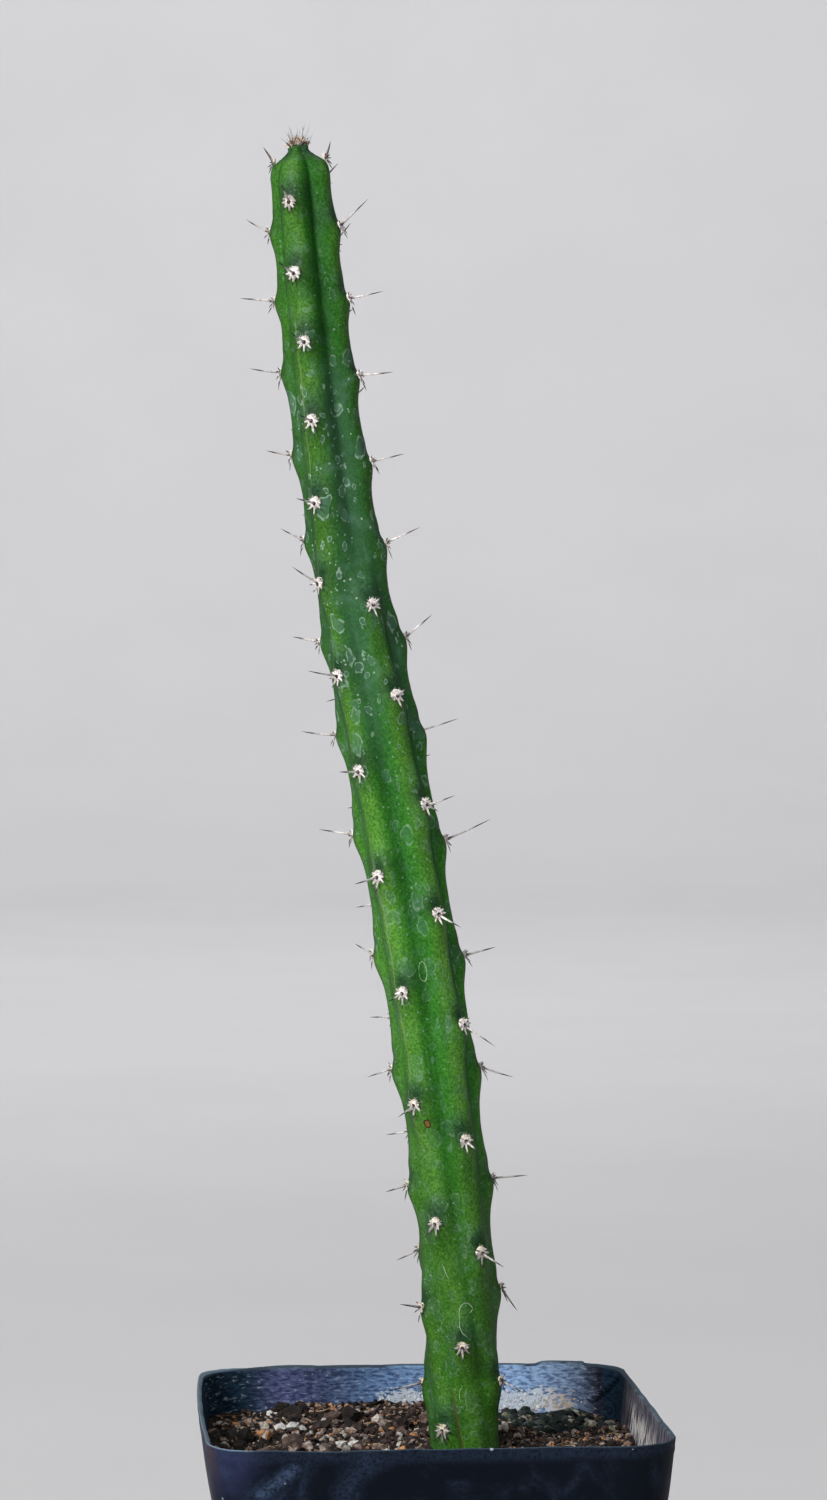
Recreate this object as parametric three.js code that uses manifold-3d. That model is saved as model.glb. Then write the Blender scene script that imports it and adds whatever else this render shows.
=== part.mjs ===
// A young queen of the night cactus in a square nursery pot.
//
// One ribbed, spiny stem leans to the left out of a thin-walled black plastic pot filled with a
// gritty bark mix. Millimetres, +Z up. The origin is the middle of the pot's foot, +X runs along
// the pot's front side to the right, and +Y points away from the viewer.
//
// The stem, with its wool cushions and spines, is one solid, because it grew as one. The potting
// mix is a second solid, with its larger grains raised from it, and the pot is a third.

import * as THREE from "three";
import { mergeVertices } from "three/addons/utils/BufferGeometryUtils.js";
import Module from "manifold-3d";

const wasm = await Module();
wasm.setup();
const { Manifold, Mesh: SolidMesh } = wasm;

// Driving dimensions of the pot
const POT_HEIGHT = 90;
const FOOT_HALF = 36; // half the outer width at the foot
const WALL_TOP_HALF = 48.4; // half the outer width of the wall at the rim
const WALL = 1.0;
const SIDE_BOW = 0.7; // how far the middle of each side bows out at the rim
const CORNER_SHARE = 0.24; // corner radius as a share of the half width
const LIP_OUT = 0.9; // how far the lip stands out from the wall
const LIP_HEIGHT = 2.6;
const LIP_FLARE = 0.8; // height over which the wall flares out into the lip
const LIP_ROUND = 0.3;
const FOOT_CHAMFER = 0.8;
const FOOT_RING = 5; // width of the ring that the pot stands on
const FOOT_RECESS = 1.5;
const FLOOR = 1.2;
const DRAIN_RADIUS = 4;
const DRAIN_SPREAD = 20; // distance of the outer drain holes from the middle, along X and Y
const DRAIN_SIDES = 16;
const OUTLINE_POINTS = 56; // points round the pot's outline
const FLAT_SHARE = 2 / 7; // share of each quarter's points on either flat stretch
const BOW_STEPS = [0.3, 0.6, 0.85]; // where the walls are stepped to follow their bow

// Driving dimensions of the potting mix
const SOIL_TOP = 80;
const SOIL_EDGE = 2; // height over which its surface runs into its sides
const SOIL_RINGS = [0.96, 0.84, 0.7, 0.55, 0.4, 0.2]; // share of the half width
const SOIL_UNEVEN = 0.7;
const SETTING_GAP = 0.3; // clearance between solids that rest on each other
const GRAIN_COUNT = 105;
const GRAIN_SMALL = 1.4; // radius of the smallest modelled grain
const GRAIN_LARGE = 3.2;
const GRAIN_SQUARE = 30; // half width of the square that the grains lie in
const GRAIN_SQUARE_ROUND = 12; // and how far round that square they may lie too
const GRAIN_STEM_CLEARANCE = 3;

// Driving dimensions of the stem
const STEM_HEIGHT = 289; // above the potting mix
const STEM_FOOT = [8.8, -0.6]; // where it leaves the potting mix
const VIEW_TURN = 4.1; // degrees that the viewer stands to the left of the pot's own front
const SWAY = 3.5; // gentle curve towards the viewer
const STEM_SIDES = 36;
const PLUG_RADIUS = 7.4; // the buried end
const PLUG_END_RADIUS = 6.6;
const PLUG_DEPTH = 38;
const PLUG_TOP = -1.5; // height at which the ribs begin to rise out of it
const HOLE_MOUTH = 9.9; // radius of the hole that it stands in, a little above the potting mix
const HOLE_ABOVE = 6;
const HOLE_SIDES = 32;

// How far the stem's middle stands to the left of its foot, at heights above the potting mix
const LEAN_HEIGHTS = [0, 40, 80, 120, 160, 200, 240, 289];
const LEANS = [0, 1.5, 5.6, 11.8, 18.8, 26.3, 32.0, 36.8];

// Radius of the ribs between their cushions
const GIRTH_HEIGHTS = [0, 30, 60, 90, 120, 160, 200, 240, 270, 289];
const GIRTHS = [7.6, 7.8, 8.0, 8.4, 8.6, 8.5, 7.6, 7.4, 6.85, 6.0];

// Share of that radius that is left near the tip, at distances below it
const TIP_DISTANCES = [0, 0.25, 1.5, 3, 5, 8, 12];
const TIP_SHARES = [0, 0.34, 0.42, 0.62, 0.88, 0.98, 1];

// The ribs. Their turns are degrees to the right of the side that faces the viewer. Where the
// viewer sees a rib, its cushions are listed from the tip down: the height, how far it stands
// aside of the rib in degrees if it does, and the upward tilt and the length of its long spine.
// The cushions at the back follow a rule that starts at a phase.
const RIB_HEIGHTS = [0, 30, 60, 125, 190, 225, 289];
const RIBS = {
  left: {
    turns: [-22, -62, -80, -97, -94, -97, -98],
    heights: [285, 270, 255, 239.5, 221.5, 203, 181, 160.5, 138.5, 112, 86.5, 60.5, 33, 6],
    tilts: [62, 32, 10, 12, 17, 35, 22, 14, 18, 40, -12, -12, 15, -20],
    lengths: [4.2, 6, 7.5, 6.8, 5.5, 5.5, 6, 7.5, 7.5, 4.5, 5.5, 5, 5.5, 5],
  },
  frontLeft: {
    turns: [20, -6, -29, -33, -46, -24, -21],
    heights: [275, 259.5, 244.5, 227.5, 210, 193, 173, 152, 129, 103.5, 79, 52.5, 24.5],
    aside: [0, -2, 4, 3, 0, -5, 1, 3, -2, 4, -4, 0, 2],
    tilts: [48, 14, 11, 8, 12, 31, 15, 6, -2, -8, -15, -20, -28],
    lengths: [5, 8, 8, 7, 6.5, 8.5, 8.5, 8, 8, 6, 6, 6, 6],
  },
  frontRight: {
    turns: [80, 48, 33, 40, 24, 20, 20],
    heights: [186.5, 166.5, 142.5, 119, 94.5, 70, 45, 16],
    aside: [0, 1, 8, -6, 11, -6, -3, 3],
    tilts: [15, 11, 6, -22, -32, -20, -20, -25],
    lengths: [6, 7.5, 8.5, 8.5, 9.5, 6, 7.5, 6],
  },
  right: {
    turns: [140, 100, 98, 94, 88, 76, 68],
    heights: [284.5, 269.5, 253.5, 236.5, 217.5, 199.5, 178.5, 158, 134, 108.5, 84, 59.5, 35.5],
    tilts: [64, 36, 2, -4, 3, 14, 29, 7, 13, 5, -28, -3, -60],
    lengths: [3.8, 8.4, 8.4, 8, 7.5, 8.2, 7.5, 10, 11, 7, 7.5, 7.8, 6.5],
  },
  backRight: { turns: [212, 168, 156, 152, 150, 142, 138], phase: 0.5 },
  backLeft: { turns: [262, 242, 233, 222, 212, 208, 205], phase: 0.82 },
};
const NEW_RIB = "frontRight"; // this rib only reaches part of the way up
const NEW_RIB_TOP = 203;
const NEW_RIB_FULL = 180;

// Furrows between the ribs
const FURROW_HOLLOW = 0.07; // how far a furrow lies inside the chord between its ribs
const FURROW_SHARPNESS = 1.3;
const FURROW_DEEPEST = 0.34;
const FURROW_HEIGHTS = [0, 60, 120, 250, 289];
const FURROW_SHARES = [0.5, 0.85, 1, 1.05, 1.2];

// Cushions of wool and their spines
const CUSHION_FIRST_STEP = 14.7; // distance between cushions at the tip
const CUSHION_STEP_GROWTH = 0.0547; // how much that distance grows for each millimetre down
const CUSHION_UNEVEN = 0.12; // of that distance
const CUSHION_LOWEST = 5; // height of the lowest cushion that is clear of the potting mix
const CUSHION_RADIUS = 1.05;
const CUSHION_THICKNESS = 0.75;
const BUMP_AT_TIP = 1.1; // height of the swelling under a cushion
const BUMP_AT_FOOT = 1.5;
const BUMP_WIDTH = 21; // degrees round the stem
const BUMP_SHARE = 0.23; // of the distance between cushions
const LEVELS_PER_STEP = 4; // levels of the stem's skin for each distance between cushions
const BACK_TILTS = [35, -25]; // upward tilt of the long spines at the back, at tip and foot
const BACK_CUSHIONS = 13;
const BACK_SPINE = 8;
const LONG_SPINE_RADIUS = 0.3;
const SPINE_CLEARANCE = 4; // how far the long spines stay above the potting mix
const SHORT_SPINE_RADIUS = 0.22;
const SHORT_SPINE_RISE = 24; // degrees above the skin
const SHORT_SPINES = [
  { turn: 24, length: 3.2 },
  { turn: -24, length: 3.2 },
  { turn: 78, length: 2.5 },
  { turn: -78, length: 2.5 },
];
const TUFT_SPINES = 9;
const TUFT_SPREAD = 1.6; // radius of the young tuft on the tip
const TUFT_SPLAY = 0.75;
const TUFT_LENGTHS = [2.6, 4.2];
const ROOT_DEPTH = 0.6; // how far a spine is sunk into what it grows from

const DEGREE = Math.PI / 180;
const UP = new THREE.Vector3(0, 0, 1);
const LENGTHWISE = new THREE.Vector3(0, 1, 0); // the way cones and cylinders are made

// Seeded random draws, so that every build is the same.
function seededDraws(seed) {
  let state = seed >>> 0;
  return () => {
    state = (state + 0x6d2b79f5) >>> 0;
    let t = state;
    t = Math.imul(t ^ (t >>> 15), t | 1);
    t ^= t + Math.imul(t ^ (t >>> 7), t | 61);
    return ((t ^ (t >>> 14)) >>> 0) / 4294967296;
  };
}

const clamp01 = (x) => Math.min(1, Math.max(0, x));
const mix = (a, b, t) => a + (b - a) * t;
const smooth = (t) => clamp01(t) ** 2 * (3 - 2 * clamp01(t));
const spread = (draw, range) => (draw() - 0.5) * range;

// A smooth curve through a few stations: cubic, with slopes taken from the neighbours.
function through(stations, values, at) {
  const last = stations.length - 1;
  if (at <= stations[0]) return values[0];
  if (at >= stations[last]) return values[last];
  const slope = (i) => {
    const lo = Math.max(0, i - 1);
    const hi = Math.min(last, i + 1);
    return (values[hi] - values[lo]) / (stations[hi] - stations[lo]);
  };
  const i = stations.findIndex((s) => s > at) - 1;
  const span = stations[i + 1] - stations[i];
  const t = (at - stations[i]) / span;
  return (
    (2 * t ** 3 - 3 * t ** 2 + 1) * values[i] +
    (t ** 3 - 2 * t ** 2 + t) * span * slope(i) +
    (3 * t ** 2 - 2 * t ** 3) * values[i + 1] +
    (t ** 3 - t ** 2) * span * slope(i + 1)
  );
}

// A three.js geometry with only its closed surface left, each point moved by place.
function reshaped(geometry, place = (p) => p) {
  geometry.deleteAttribute("normal");
  geometry.deleteAttribute("uv");
  const merged = mergeVertices(geometry, 1e-4);
  const position = merged.attributes.position;
  const p = new THREE.Vector3();
  for (let i = 0; i < position.count; i++) {
    p.copy(place(p.fromBufferAttribute(position, i)));
    position.setXYZ(i, p.x, p.y, p.z);
  }
  return merged;
}

function solid(geometry) {
  return new Manifold(
    new SolidMesh({
      numProp: 3,
      vertProperties: new Float32Array(geometry.attributes.position.array),
      triVerts: new Uint32Array(geometry.index.array),
    }),
  );
}

function geometryOf(made) {
  const mesh = made.getMesh();
  const points = new Float32Array(mesh.numVert * 3);
  for (let i = 0; i < mesh.numVert; i++) {
    const from = i * mesh.numProp;
    points.set(mesh.vertProperties.subarray(from, from + 3), i * 3);
  }
  const geometry = new THREE.BufferGeometry();
  geometry.setAttribute("position", new THREE.BufferAttribute(points, 3));
  geometry.setIndex(new THREE.BufferAttribute(new Uint32Array(mesh.triVerts), 1));
  geometry.computeVertexNormals();
  return geometry;
}

// A geometry's solid set at a point, spun about its length and then laid along a direction.
function setAt(geometry, point, direction, spin = 0) {
  const unit = direction.clone().normalize();
  const turn = new THREE.Quaternion()
    .setFromUnitVectors(LENGTHWISE, unit)
    .multiply(new THREE.Quaternion().setFromAxisAngle(LENGTHWISE, spin));
  const place = new THREE.Matrix4().compose(point, turn, new THREE.Vector3(1, 1, 1));
  return solid(reshaped(geometry.applyMatrix4(place)));
}

// The pot

// A point of a square with round corners and slightly bowed sides. turn runs from 0 to 1.
function squareOutline(turn, half, bow) {
  if (half < 1e-6) return [0, 0];
  const quarter = Math.floor(turn * 4);
  const share = turn * 4 - quarter;
  const radius = half * CORNER_SHARE;
  const flat = half - radius;
  let x;
  let y;
  if (share < FLAT_SHARE) {
    y = (flat * share) / FLAT_SHARE;
    x = half + bow * (1 - (y / flat) ** 2);
  } else if (share > 1 - FLAT_SHARE) {
    x = (flat * (1 - share)) / FLAT_SHARE;
    y = half + bow * (1 - (x / flat) ** 2);
  } else {
    const round = ((share - FLAT_SHARE) / (1 - 2 * FLAT_SHARE)) * (Math.PI / 2);
    x = flat + radius * Math.cos(round);
    y = flat + radius * Math.sin(round);
  }
  const c = Math.round(Math.cos((quarter * Math.PI) / 2));
  const s = Math.round(Math.sin((quarter * Math.PI) / 2));
  return [x * c - y * s, x * s + y * c];
}

// A lathe shape made square. A profile point is its half width and its height.
function squareLathe(profile, rise = () => 0) {
  const points = profile.map(([half, height]) => new THREE.Vector2(half, height));
  const round = new THREE.LatheGeometry(points, OUTLINE_POINTS);
  return reshaped(round, (p) => {
    const half = Math.hypot(p.x, p.z);
    const point = Math.round((Math.atan2(p.x, p.z) * OUTLINE_POINTS) / (2 * Math.PI));
    const turn = (point / OUTLINE_POINTS + 1) % 1;
    const bow = (SIDE_BOW * smooth(p.y / POT_HEIGHT) * half) / WALL_TOP_HALF;
    const [x, y] = squareOutline(turn, half, bow);
    return p.set(x, y, p.y + rise(x, y, p.y));
  });
}

const outerHalf = (z) => mix(FOOT_HALF, WALL_TOP_HALF, z / POT_HEIGHT);
const innerHalf = (z) => outerHalf(z) - WALL;

function drainHoles() {
  const places = [[0, 0]];
  for (const x of [-DRAIN_SPREAD, DRAIN_SPREAD]) {
    for (const y of [-DRAIN_SPREAD, DRAIN_SPREAD]) places.push([x, y]);
  }
  const depth = 4 * (FOOT_RECESS + FLOOR);
  return places.map(([x, y]) =>
    setAt(
      new THREE.CylinderGeometry(DRAIN_RADIUS, DRAIN_RADIUS, depth, DRAIN_SIDES),
      new THREE.Vector3(x, y, 0),
      UP,
    ),
  );
}

function makePot() {
  const floorTop = FOOT_RECESS + FLOOR;
  const lipFoot = POT_HEIGHT - LIP_HEIGHT;
  const lipHalf = WALL_TOP_HALF + LIP_OUT;
  const steps = BOW_STEPS.map((share) => lipFoot * share);
  const profile = [
    [0, FOOT_RECESS],
    [FOOT_HALF - FOOT_RING, FOOT_RECESS],
    [FOOT_HALF - FOOT_RING, 0],
    [FOOT_HALF - FOOT_CHAMFER, 0],
    [outerHalf(FOOT_CHAMFER), FOOT_CHAMFER],
    ...steps.map((z) => [outerHalf(z), z]),
    [outerHalf(lipFoot - LIP_FLARE), lipFoot - LIP_FLARE],
    [lipHalf, lipFoot],
    [lipHalf, POT_HEIGHT - LIP_ROUND],
    [lipHalf - LIP_ROUND, POT_HEIGHT],
    [innerHalf(POT_HEIGHT), POT_HEIGHT],
    ...steps.reverse().map((z) => [innerHalf(z), z]),
    [innerHalf(floorTop), floorTop],
    [0, floorTop],
  ];
  const shell = solid(squareLathe(profile));
  return geometryOf(shell.subtract(Manifold.union(drainHoles())));
}

// The stem's form

// The way to the viewer and the viewer's right, both level.
const front = new THREE.Vector3(-Math.sin(VIEW_TURN * DEGREE), -Math.cos(VIEW_TURN * DEGREE), 0);
const rightward = new THREE.Vector3().crossVectors(UP, front);

// The middle of the stem at a height above the potting mix.
function stemMiddle(height) {
  const t = clamp01(height / STEM_HEIGHT);
  return new THREE.Vector3(...STEM_FOOT, SOIL_TOP + height)
    .addScaledVector(rightward, -through(LEAN_HEIGHTS, LEANS, height))
    .addScaledVector(front, SWAY * Math.sin(Math.PI * t) * smooth(3 * t));
}

// The stem's middle at a height, its direction there, and the two directions across it.
function stemFrame(height) {
  const step = 0.5;
  const along = stemMiddle(height + step).sub(stemMiddle(height - step)).normalize();
  const toFront = front.clone().addScaledVector(along, -front.dot(along)).normalize();
  const toRight = new THREE.Vector3().crossVectors(along, toFront);
  return { middle: stemMiddle(height), along, toFront, toRight };
}

// A direction between two others: at 0 degrees it is the first, and at 90 degrees the second.
function between(first, second, degrees) {
  return first
    .clone()
    .multiplyScalar(Math.cos(degrees * DEGREE))
    .addScaledVector(second, Math.sin(degrees * DEGREE));
}

// The height at a count of cushion steps below the tip, and the step's length at a height.
const heightAfter = (steps) =>
  STEM_HEIGHT -
  ((Math.exp(steps * CUSHION_STEP_GROWTH) - 1) * CUSHION_FIRST_STEP) / CUSHION_STEP_GROWTH;
const stepAt = (height) => CUSHION_FIRST_STEP + CUSHION_STEP_GROWTH * (STEM_HEIGHT - height);

const listedCushions = (rib) =>
  rib.heights.map((height, k) => ({
    height,
    aside: rib.aside ? rib.aside[k] : 0,
    tilt: rib.tilts[k],
    length: rib.lengths[k],
  }));

function ruledCushions(rib, draw) {
  const made = [];
  for (let k = 0; ; k++) {
    const height = heightAfter(rib.phase + k + spread(draw, CUSHION_UNEVEN));
    if (height < CUSHION_LOWEST) return made;
    made.push({
      height,
      aside: spread(draw, 8),
      tilt: mix(...BACK_TILTS, k / BACK_CUSHIONS) + spread(draw, 24),
      length: BACK_SPINE + spread(draw, 3),
    });
  }
}

// Every cushion: its height, its direction, and the tilt, swing and length of its long spine.
function makeCushions() {
  const draw = seededDraws(7);
  const cushions = [];
  for (const rib of Object.values(RIBS)) {
    const made = rib.heights ? listedCushions(rib) : ruledCushions(rib, draw);
    for (const { height, aside, tilt, length } of made) {
      const lowest = -Math.asin(clamp01((height - SPINE_CLEARANCE) / length)) / DEGREE;
      cushions.push({
        height,
        length,
        turn: through(RIB_HEIGHTS, rib.turns, height) + aside,
        tilt: Math.max(tilt, lowest),
        swing: spread(draw, 16),
      });
    }
  }
  return cushions;
}
const cushions = makeCushions();

const wholeTurn = (degrees) => ((degrees % 360) + 360) % 360;

// 0 on a rib and up to the furrow's depth between two ribs, as a share of the radius.
function furrow(turn, ribTurns) {
  const round = ribTurns.map(wholeTurn).sort((a, b) => a - b);
  const here = wholeTurn(turn);
  const found = round.findIndex((t) => t > here);
  const next = found < 0 ? round[0] + 360 : round[found];
  const before = found < 0 ? round.at(-1) : found ? round[found - 1] : round.at(-1) - 360;
  const spacing = next - before;
  const chord = 1 - (1 - FURROW_HOLLOW) * Math.cos((spacing / 2) * DEGREE);
  const wave = (1 - Math.cos((2 * Math.PI * (here - before)) / spacing)) / 2;
  return Math.min(FURROW_DEEPEST, chord) * wave ** FURROW_SHARPNESS;
}

// The swellings of the skin under the cushions near a place.
function swelling(turn, height) {
  let sum = 0;
  for (const cushion of cushions) {
    const rise = (height - cushion.height) / (BUMP_SHARE * stepAt(cushion.height));
    if (Math.abs(rise) > 3) continue;
    const aside = (wholeTurn(turn - cushion.turn + 180) - 180) / BUMP_WIDTH;
    const bump = mix(BUMP_AT_FOOT, BUMP_AT_TIP, cushion.height / STEM_HEIGHT);
    sum += bump * Math.exp(-(rise ** 2) - aside ** 2);
  }
  return sum;
}

// The stem's radius in a direction at a height.
function stemRadius(turn, height) {
  const turnsOf = (names) => names.map((n) => through(RIB_HEIGHTS, RIBS[n].turns, height));
  const names = Object.keys(RIBS);
  const all = furrow(turn, turnsOf(names));
  const without = furrow(turn, turnsOf(names.filter((n) => n !== NEW_RIB)));
  const strength = smooth((NEW_RIB_TOP - height) / (NEW_RIB_TOP - NEW_RIB_FULL));
  const depth = mix(without, all, strength) * through(FURROW_HEIGHTS, FURROW_SHARES, height);
  const ribbed = through(GIRTH_HEIGHTS, GIRTHS, height) * (1 - depth);
  const left = through(TIP_DISTANCES, TIP_SHARES, STEM_HEIGHT - height);
  return (ribbed + swelling(turn, height)) * left;
}

function onStem(turn, height, radius) {
  const { middle, toFront, toRight } = stemFrame(height);
  return middle.addScaledVector(between(toFront, toRight, turn), radius);
}

// The ribbed stem, with its plain round buried end.
function makeStemBody() {
  const levels = [-PLUG_DEPTH, PLUG_TOP, 0];
  const above = [];
  for (let i = LEVELS_PER_STEP; heightAfter(i / LEVELS_PER_STEP) > 2; i++) {
    above.push(heightAfter(i / LEVELS_PER_STEP));
  }
  levels.push(...above.reverse());
  levels.push(...TIP_DISTANCES.slice(1).reverse().map((distance) => STEM_HEIGHT - distance));
  const last = levels.length - 1;
  const tube = new THREE.CylinderGeometry(1, 1, last, STEM_SIDES, last);
  return solid(
    reshaped(tube, (p) => {
      const height = levels[Math.round(p.y + last / 2)];
      const turn = Math.atan2(p.x, p.z) / DEGREE;
      if (Math.hypot(p.x, p.z) < 0.5) return stemMiddle(height);
      if (height > PLUG_TOP) return onStem(turn, height, stemRadius(turn, height));
      const share = (height + PLUG_DEPTH) / PLUG_DEPTH;
      return onStem(turn, height, mix(PLUG_END_RADIUS, PLUG_RADIUS, share));
    }),
  );
}

// A straight three-sided needle, sunk a little into what it grows from.
function needle(point, direction, length, radius, spin) {
  const cone = new THREE.ConeGeometry(radius, length + ROOT_DEPTH, 3, 1);
  cone.translate(0, (length - ROOT_DEPTH) / 2, 0);
  return setAt(cone, point, direction, spin);
}

// A wool cushion with its long spine and its short ones, which fan out downwards.
function cushionParts(cushion, draw) {
  const { along, toFront, toRight } = stemFrame(cushion.height);
  const outward = between(toFront, toRight, cushion.turn);
  const sideways = new THREE.Vector3().crossVectors(along, outward);
  const down = along.clone().negate();
  const radius = stemRadius(cushion.turn, cushion.height);
  const seat = onStem(cushion.turn, cushion.height, radius);
  const pad = new THREE.OctahedronGeometry(1, 0);
  pad.scale(CUSHION_RADIUS, CUSHION_THICKNESS, CUSHION_RADIUS);
  const parts = [setAt(pad, seat, outward, spread(draw, Math.PI))];
  const top = seat.clone().addScaledVector(outward, CUSHION_THICKNESS * 0.4);
  const long = between(between(outward, sideways, cushion.swing), along, cushion.tilt);
  parts.push(needle(top, long, cushion.length, LONG_SPINE_RADIUS, draw()));
  for (const short of SHORT_SPINES) {
    const across = between(down, sideways, short.turn + spread(draw, 16));
    const direction = between(across, outward, SHORT_SPINE_RISE + spread(draw, 14));
    const root = seat
      .clone()
      .addScaledVector(across, CUSHION_RADIUS * 0.55)
      .addScaledVector(outward, CUSHION_THICKNESS * 0.3);
    parts.push(needle(root, direction, short.length, SHORT_SPINE_RADIUS, draw()));
  }
  return parts;
}

// Young spines crowded on the growing tip, placed like seeds on a disc.
function tipTuft(draw) {
  const goldenTurn = 137.5;
  const { middle, along, toFront, toRight } = stemFrame(STEM_HEIGHT);
  const parts = [];
  for (let i = 0; i < TUFT_SPINES; i++) {
    const away = Math.sqrt(i / TUFT_SPINES);
    const across = between(toFront, toRight, i * goldenTurn);
    const root = middle
      .clone()
      .addScaledVector(across, away * TUFT_SPREAD)
      .addScaledVector(along, -0.5 * away - 0.1);
    const direction = along.clone().addScaledVector(across, away * TUFT_SPLAY);
    const length = mix(...TUFT_LENGTHS, draw());
    parts.push(needle(root, direction, length, SHORT_SPINE_RADIUS, draw()));
  }
  return parts;
}

function makeStem() {
  const draw = seededDraws(21);
  const parts = [makeStemBody()];
  for (const cushion of cushions) parts.push(...cushionParts(cushion, draw));
  parts.push(...tipTuft(draw));
  return geometryOf(Manifold.union(parts));
}

// The potting mix

// The gentle unevenness of its surface.
function soilRise(x, y) {
  const swells = Math.sin(x * 0.21 + 0.6) * Math.cos(y * 0.17);
  const ripples = 0.6 * Math.sin(x * 0.37 - y * 0.31);
  return SOIL_UNEVEN * (swells + ripples - 0.4);
}

const soilHalf = (z) => innerHalf(z) - SETTING_GAP;

function soilBlock() {
  const bottom = FOOT_RECESS + FLOOR + SETTING_GAP;
  const edge = SOIL_TOP - SOIL_EDGE;
  const profile = [
    [0, bottom],
    [soilHalf(bottom), bottom],
    ...BOW_STEPS.map((share) => [soilHalf(edge * share), edge * share]),
    [soilHalf(edge), edge],
    ...SOIL_RINGS.map((share) => [soilHalf(edge) * share, SOIL_TOP]),
    [0, SOIL_TOP],
  ];
  return solid(squareLathe(profile, (x, y, z) => (z < SOIL_TOP ? 0 : soilRise(x, y))));
}

function soilGrains() {
  const draw = seededDraws(33);
  const reach = soilHalf(SOIL_TOP) - GRAIN_LARGE * 1.25;
  const beyond = (v) => Math.max(0, Math.abs(v) - GRAIN_SQUARE);
  const grains = [];
  while (grains.length < GRAIN_COUNT) {
    const x = spread(draw, 2 * reach);
    const y = spread(draw, 2 * reach);
    const size = mix(GRAIN_SMALL, GRAIN_LARGE, draw() ** 2);
    const toStem = Math.hypot(x - STEM_FOOT[0], y - STEM_FOOT[1]);
    if (toStem < PLUG_RADIUS + size + GRAIN_STEM_CLEARANCE) continue;
    if (Math.hypot(beyond(x), beyond(y)) > GRAIN_SQUARE_ROUND) continue;
    const grain = new THREE.OctahedronGeometry(1, 0);
    grain.scale(size, size * mix(0.45, 0.8, draw()), size * mix(0.6, 1, draw()));
    const up = new THREE.Vector3(spread(draw, 0.9), spread(draw, 0.9), 1);
    const seat = new THREE.Vector3(x, y, SOIL_TOP + soilRise(x, y));
    grains.push(setAt(grain, seat, up, spread(draw, Math.PI)));
  }
  return grains;
}

function makeSoil() {
  const depth = PLUG_DEPTH + SETTING_GAP;
  const end = PLUG_END_RADIUS + SETTING_GAP;
  const stemHole = setAt(
    new THREE.CylinderGeometry(HOLE_MOUTH, end, depth + HOLE_ABOVE, HOLE_SIDES),
    new THREE.Vector3(...STEM_FOOT, SOIL_TOP + (HOLE_ABOVE - depth) / 2),
    UP,
  );
  return geometryOf(Manifold.union([soilBlock(), ...soilGrains()]).subtract(stemHole));
}

// The parts with their finishes

const blackPlastic = new THREE.MeshStandardMaterial({ color: 0x14181f, roughness: 0.55 });
const barkMix = new THREE.MeshStandardMaterial({ color: 0x4a382c, roughness: 0.95 });
const cactusSkin = new THREE.MeshStandardMaterial({ color: 0x3c7a2e, roughness: 0.5 });

function named(name, geometry, material) {
  const mesh = new THREE.Mesh(geometry, material);
  mesh.name = name;
  return mesh;
}

const pottedCactus = new THREE.Group();
pottedCactus.add(named("pot", makePot(), blackPlastic));
pottedCactus.add(named("potting_mix", makeSoil(), barkMix));
pottedCactus.add(named("spiny_stem", makeStem(), cactusSkin));

export default pottedCactus;
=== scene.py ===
"""A young queen of the night cactus in a square nursery pot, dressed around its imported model.

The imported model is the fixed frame, and this script gives it its looks. Three sub-assemblies stand
in for its nodes: the spiny stem, the potting mix and the pot. Each is a class whose fields are its
sizes in millimetres, and every mesh is made in metres, in the frame's own place. The stem and the
pot follow the frame's own rules of form, on much finer meshes, with the detail that shows close by.
"""

import logging
import math
from collections.abc import Callable, Iterator, Sequence
from contextlib import contextmanager
from dataclasses import dataclass, field
from enum import Enum

import bmesh
import bpy
import numpy as np
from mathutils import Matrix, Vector, noise


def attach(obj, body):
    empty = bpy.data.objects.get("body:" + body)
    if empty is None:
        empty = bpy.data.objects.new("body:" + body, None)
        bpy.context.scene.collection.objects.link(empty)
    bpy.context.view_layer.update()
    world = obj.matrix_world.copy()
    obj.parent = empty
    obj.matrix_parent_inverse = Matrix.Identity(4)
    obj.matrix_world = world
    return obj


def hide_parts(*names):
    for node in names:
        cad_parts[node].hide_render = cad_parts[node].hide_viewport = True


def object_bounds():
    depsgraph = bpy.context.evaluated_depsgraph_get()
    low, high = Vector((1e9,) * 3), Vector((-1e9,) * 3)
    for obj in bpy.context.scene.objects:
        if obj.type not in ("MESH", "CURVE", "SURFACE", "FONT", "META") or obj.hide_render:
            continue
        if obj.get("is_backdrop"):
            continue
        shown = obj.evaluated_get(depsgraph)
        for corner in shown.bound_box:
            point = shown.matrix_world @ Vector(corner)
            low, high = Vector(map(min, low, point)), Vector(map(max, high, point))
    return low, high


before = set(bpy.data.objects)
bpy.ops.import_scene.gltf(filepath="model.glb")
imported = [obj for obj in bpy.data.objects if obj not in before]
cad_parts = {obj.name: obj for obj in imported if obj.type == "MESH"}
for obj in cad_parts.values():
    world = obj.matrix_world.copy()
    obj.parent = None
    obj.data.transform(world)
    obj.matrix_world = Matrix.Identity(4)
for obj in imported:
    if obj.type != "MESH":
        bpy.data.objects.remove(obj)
CAD_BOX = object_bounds()

LOG = logging.getLogger("potted_cactus")
BODY = "root"
MM = 0.001
UP = np.array([0.0, 0.0, 1.0])
VIEW_TURN = 4.1  # degrees that the viewer stands to the left of the pot's own front
SOIL_TOP = 80.0
SOIL_UNEVEN = 0.7
STEM_FOOT = (8.8, -0.6)

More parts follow.
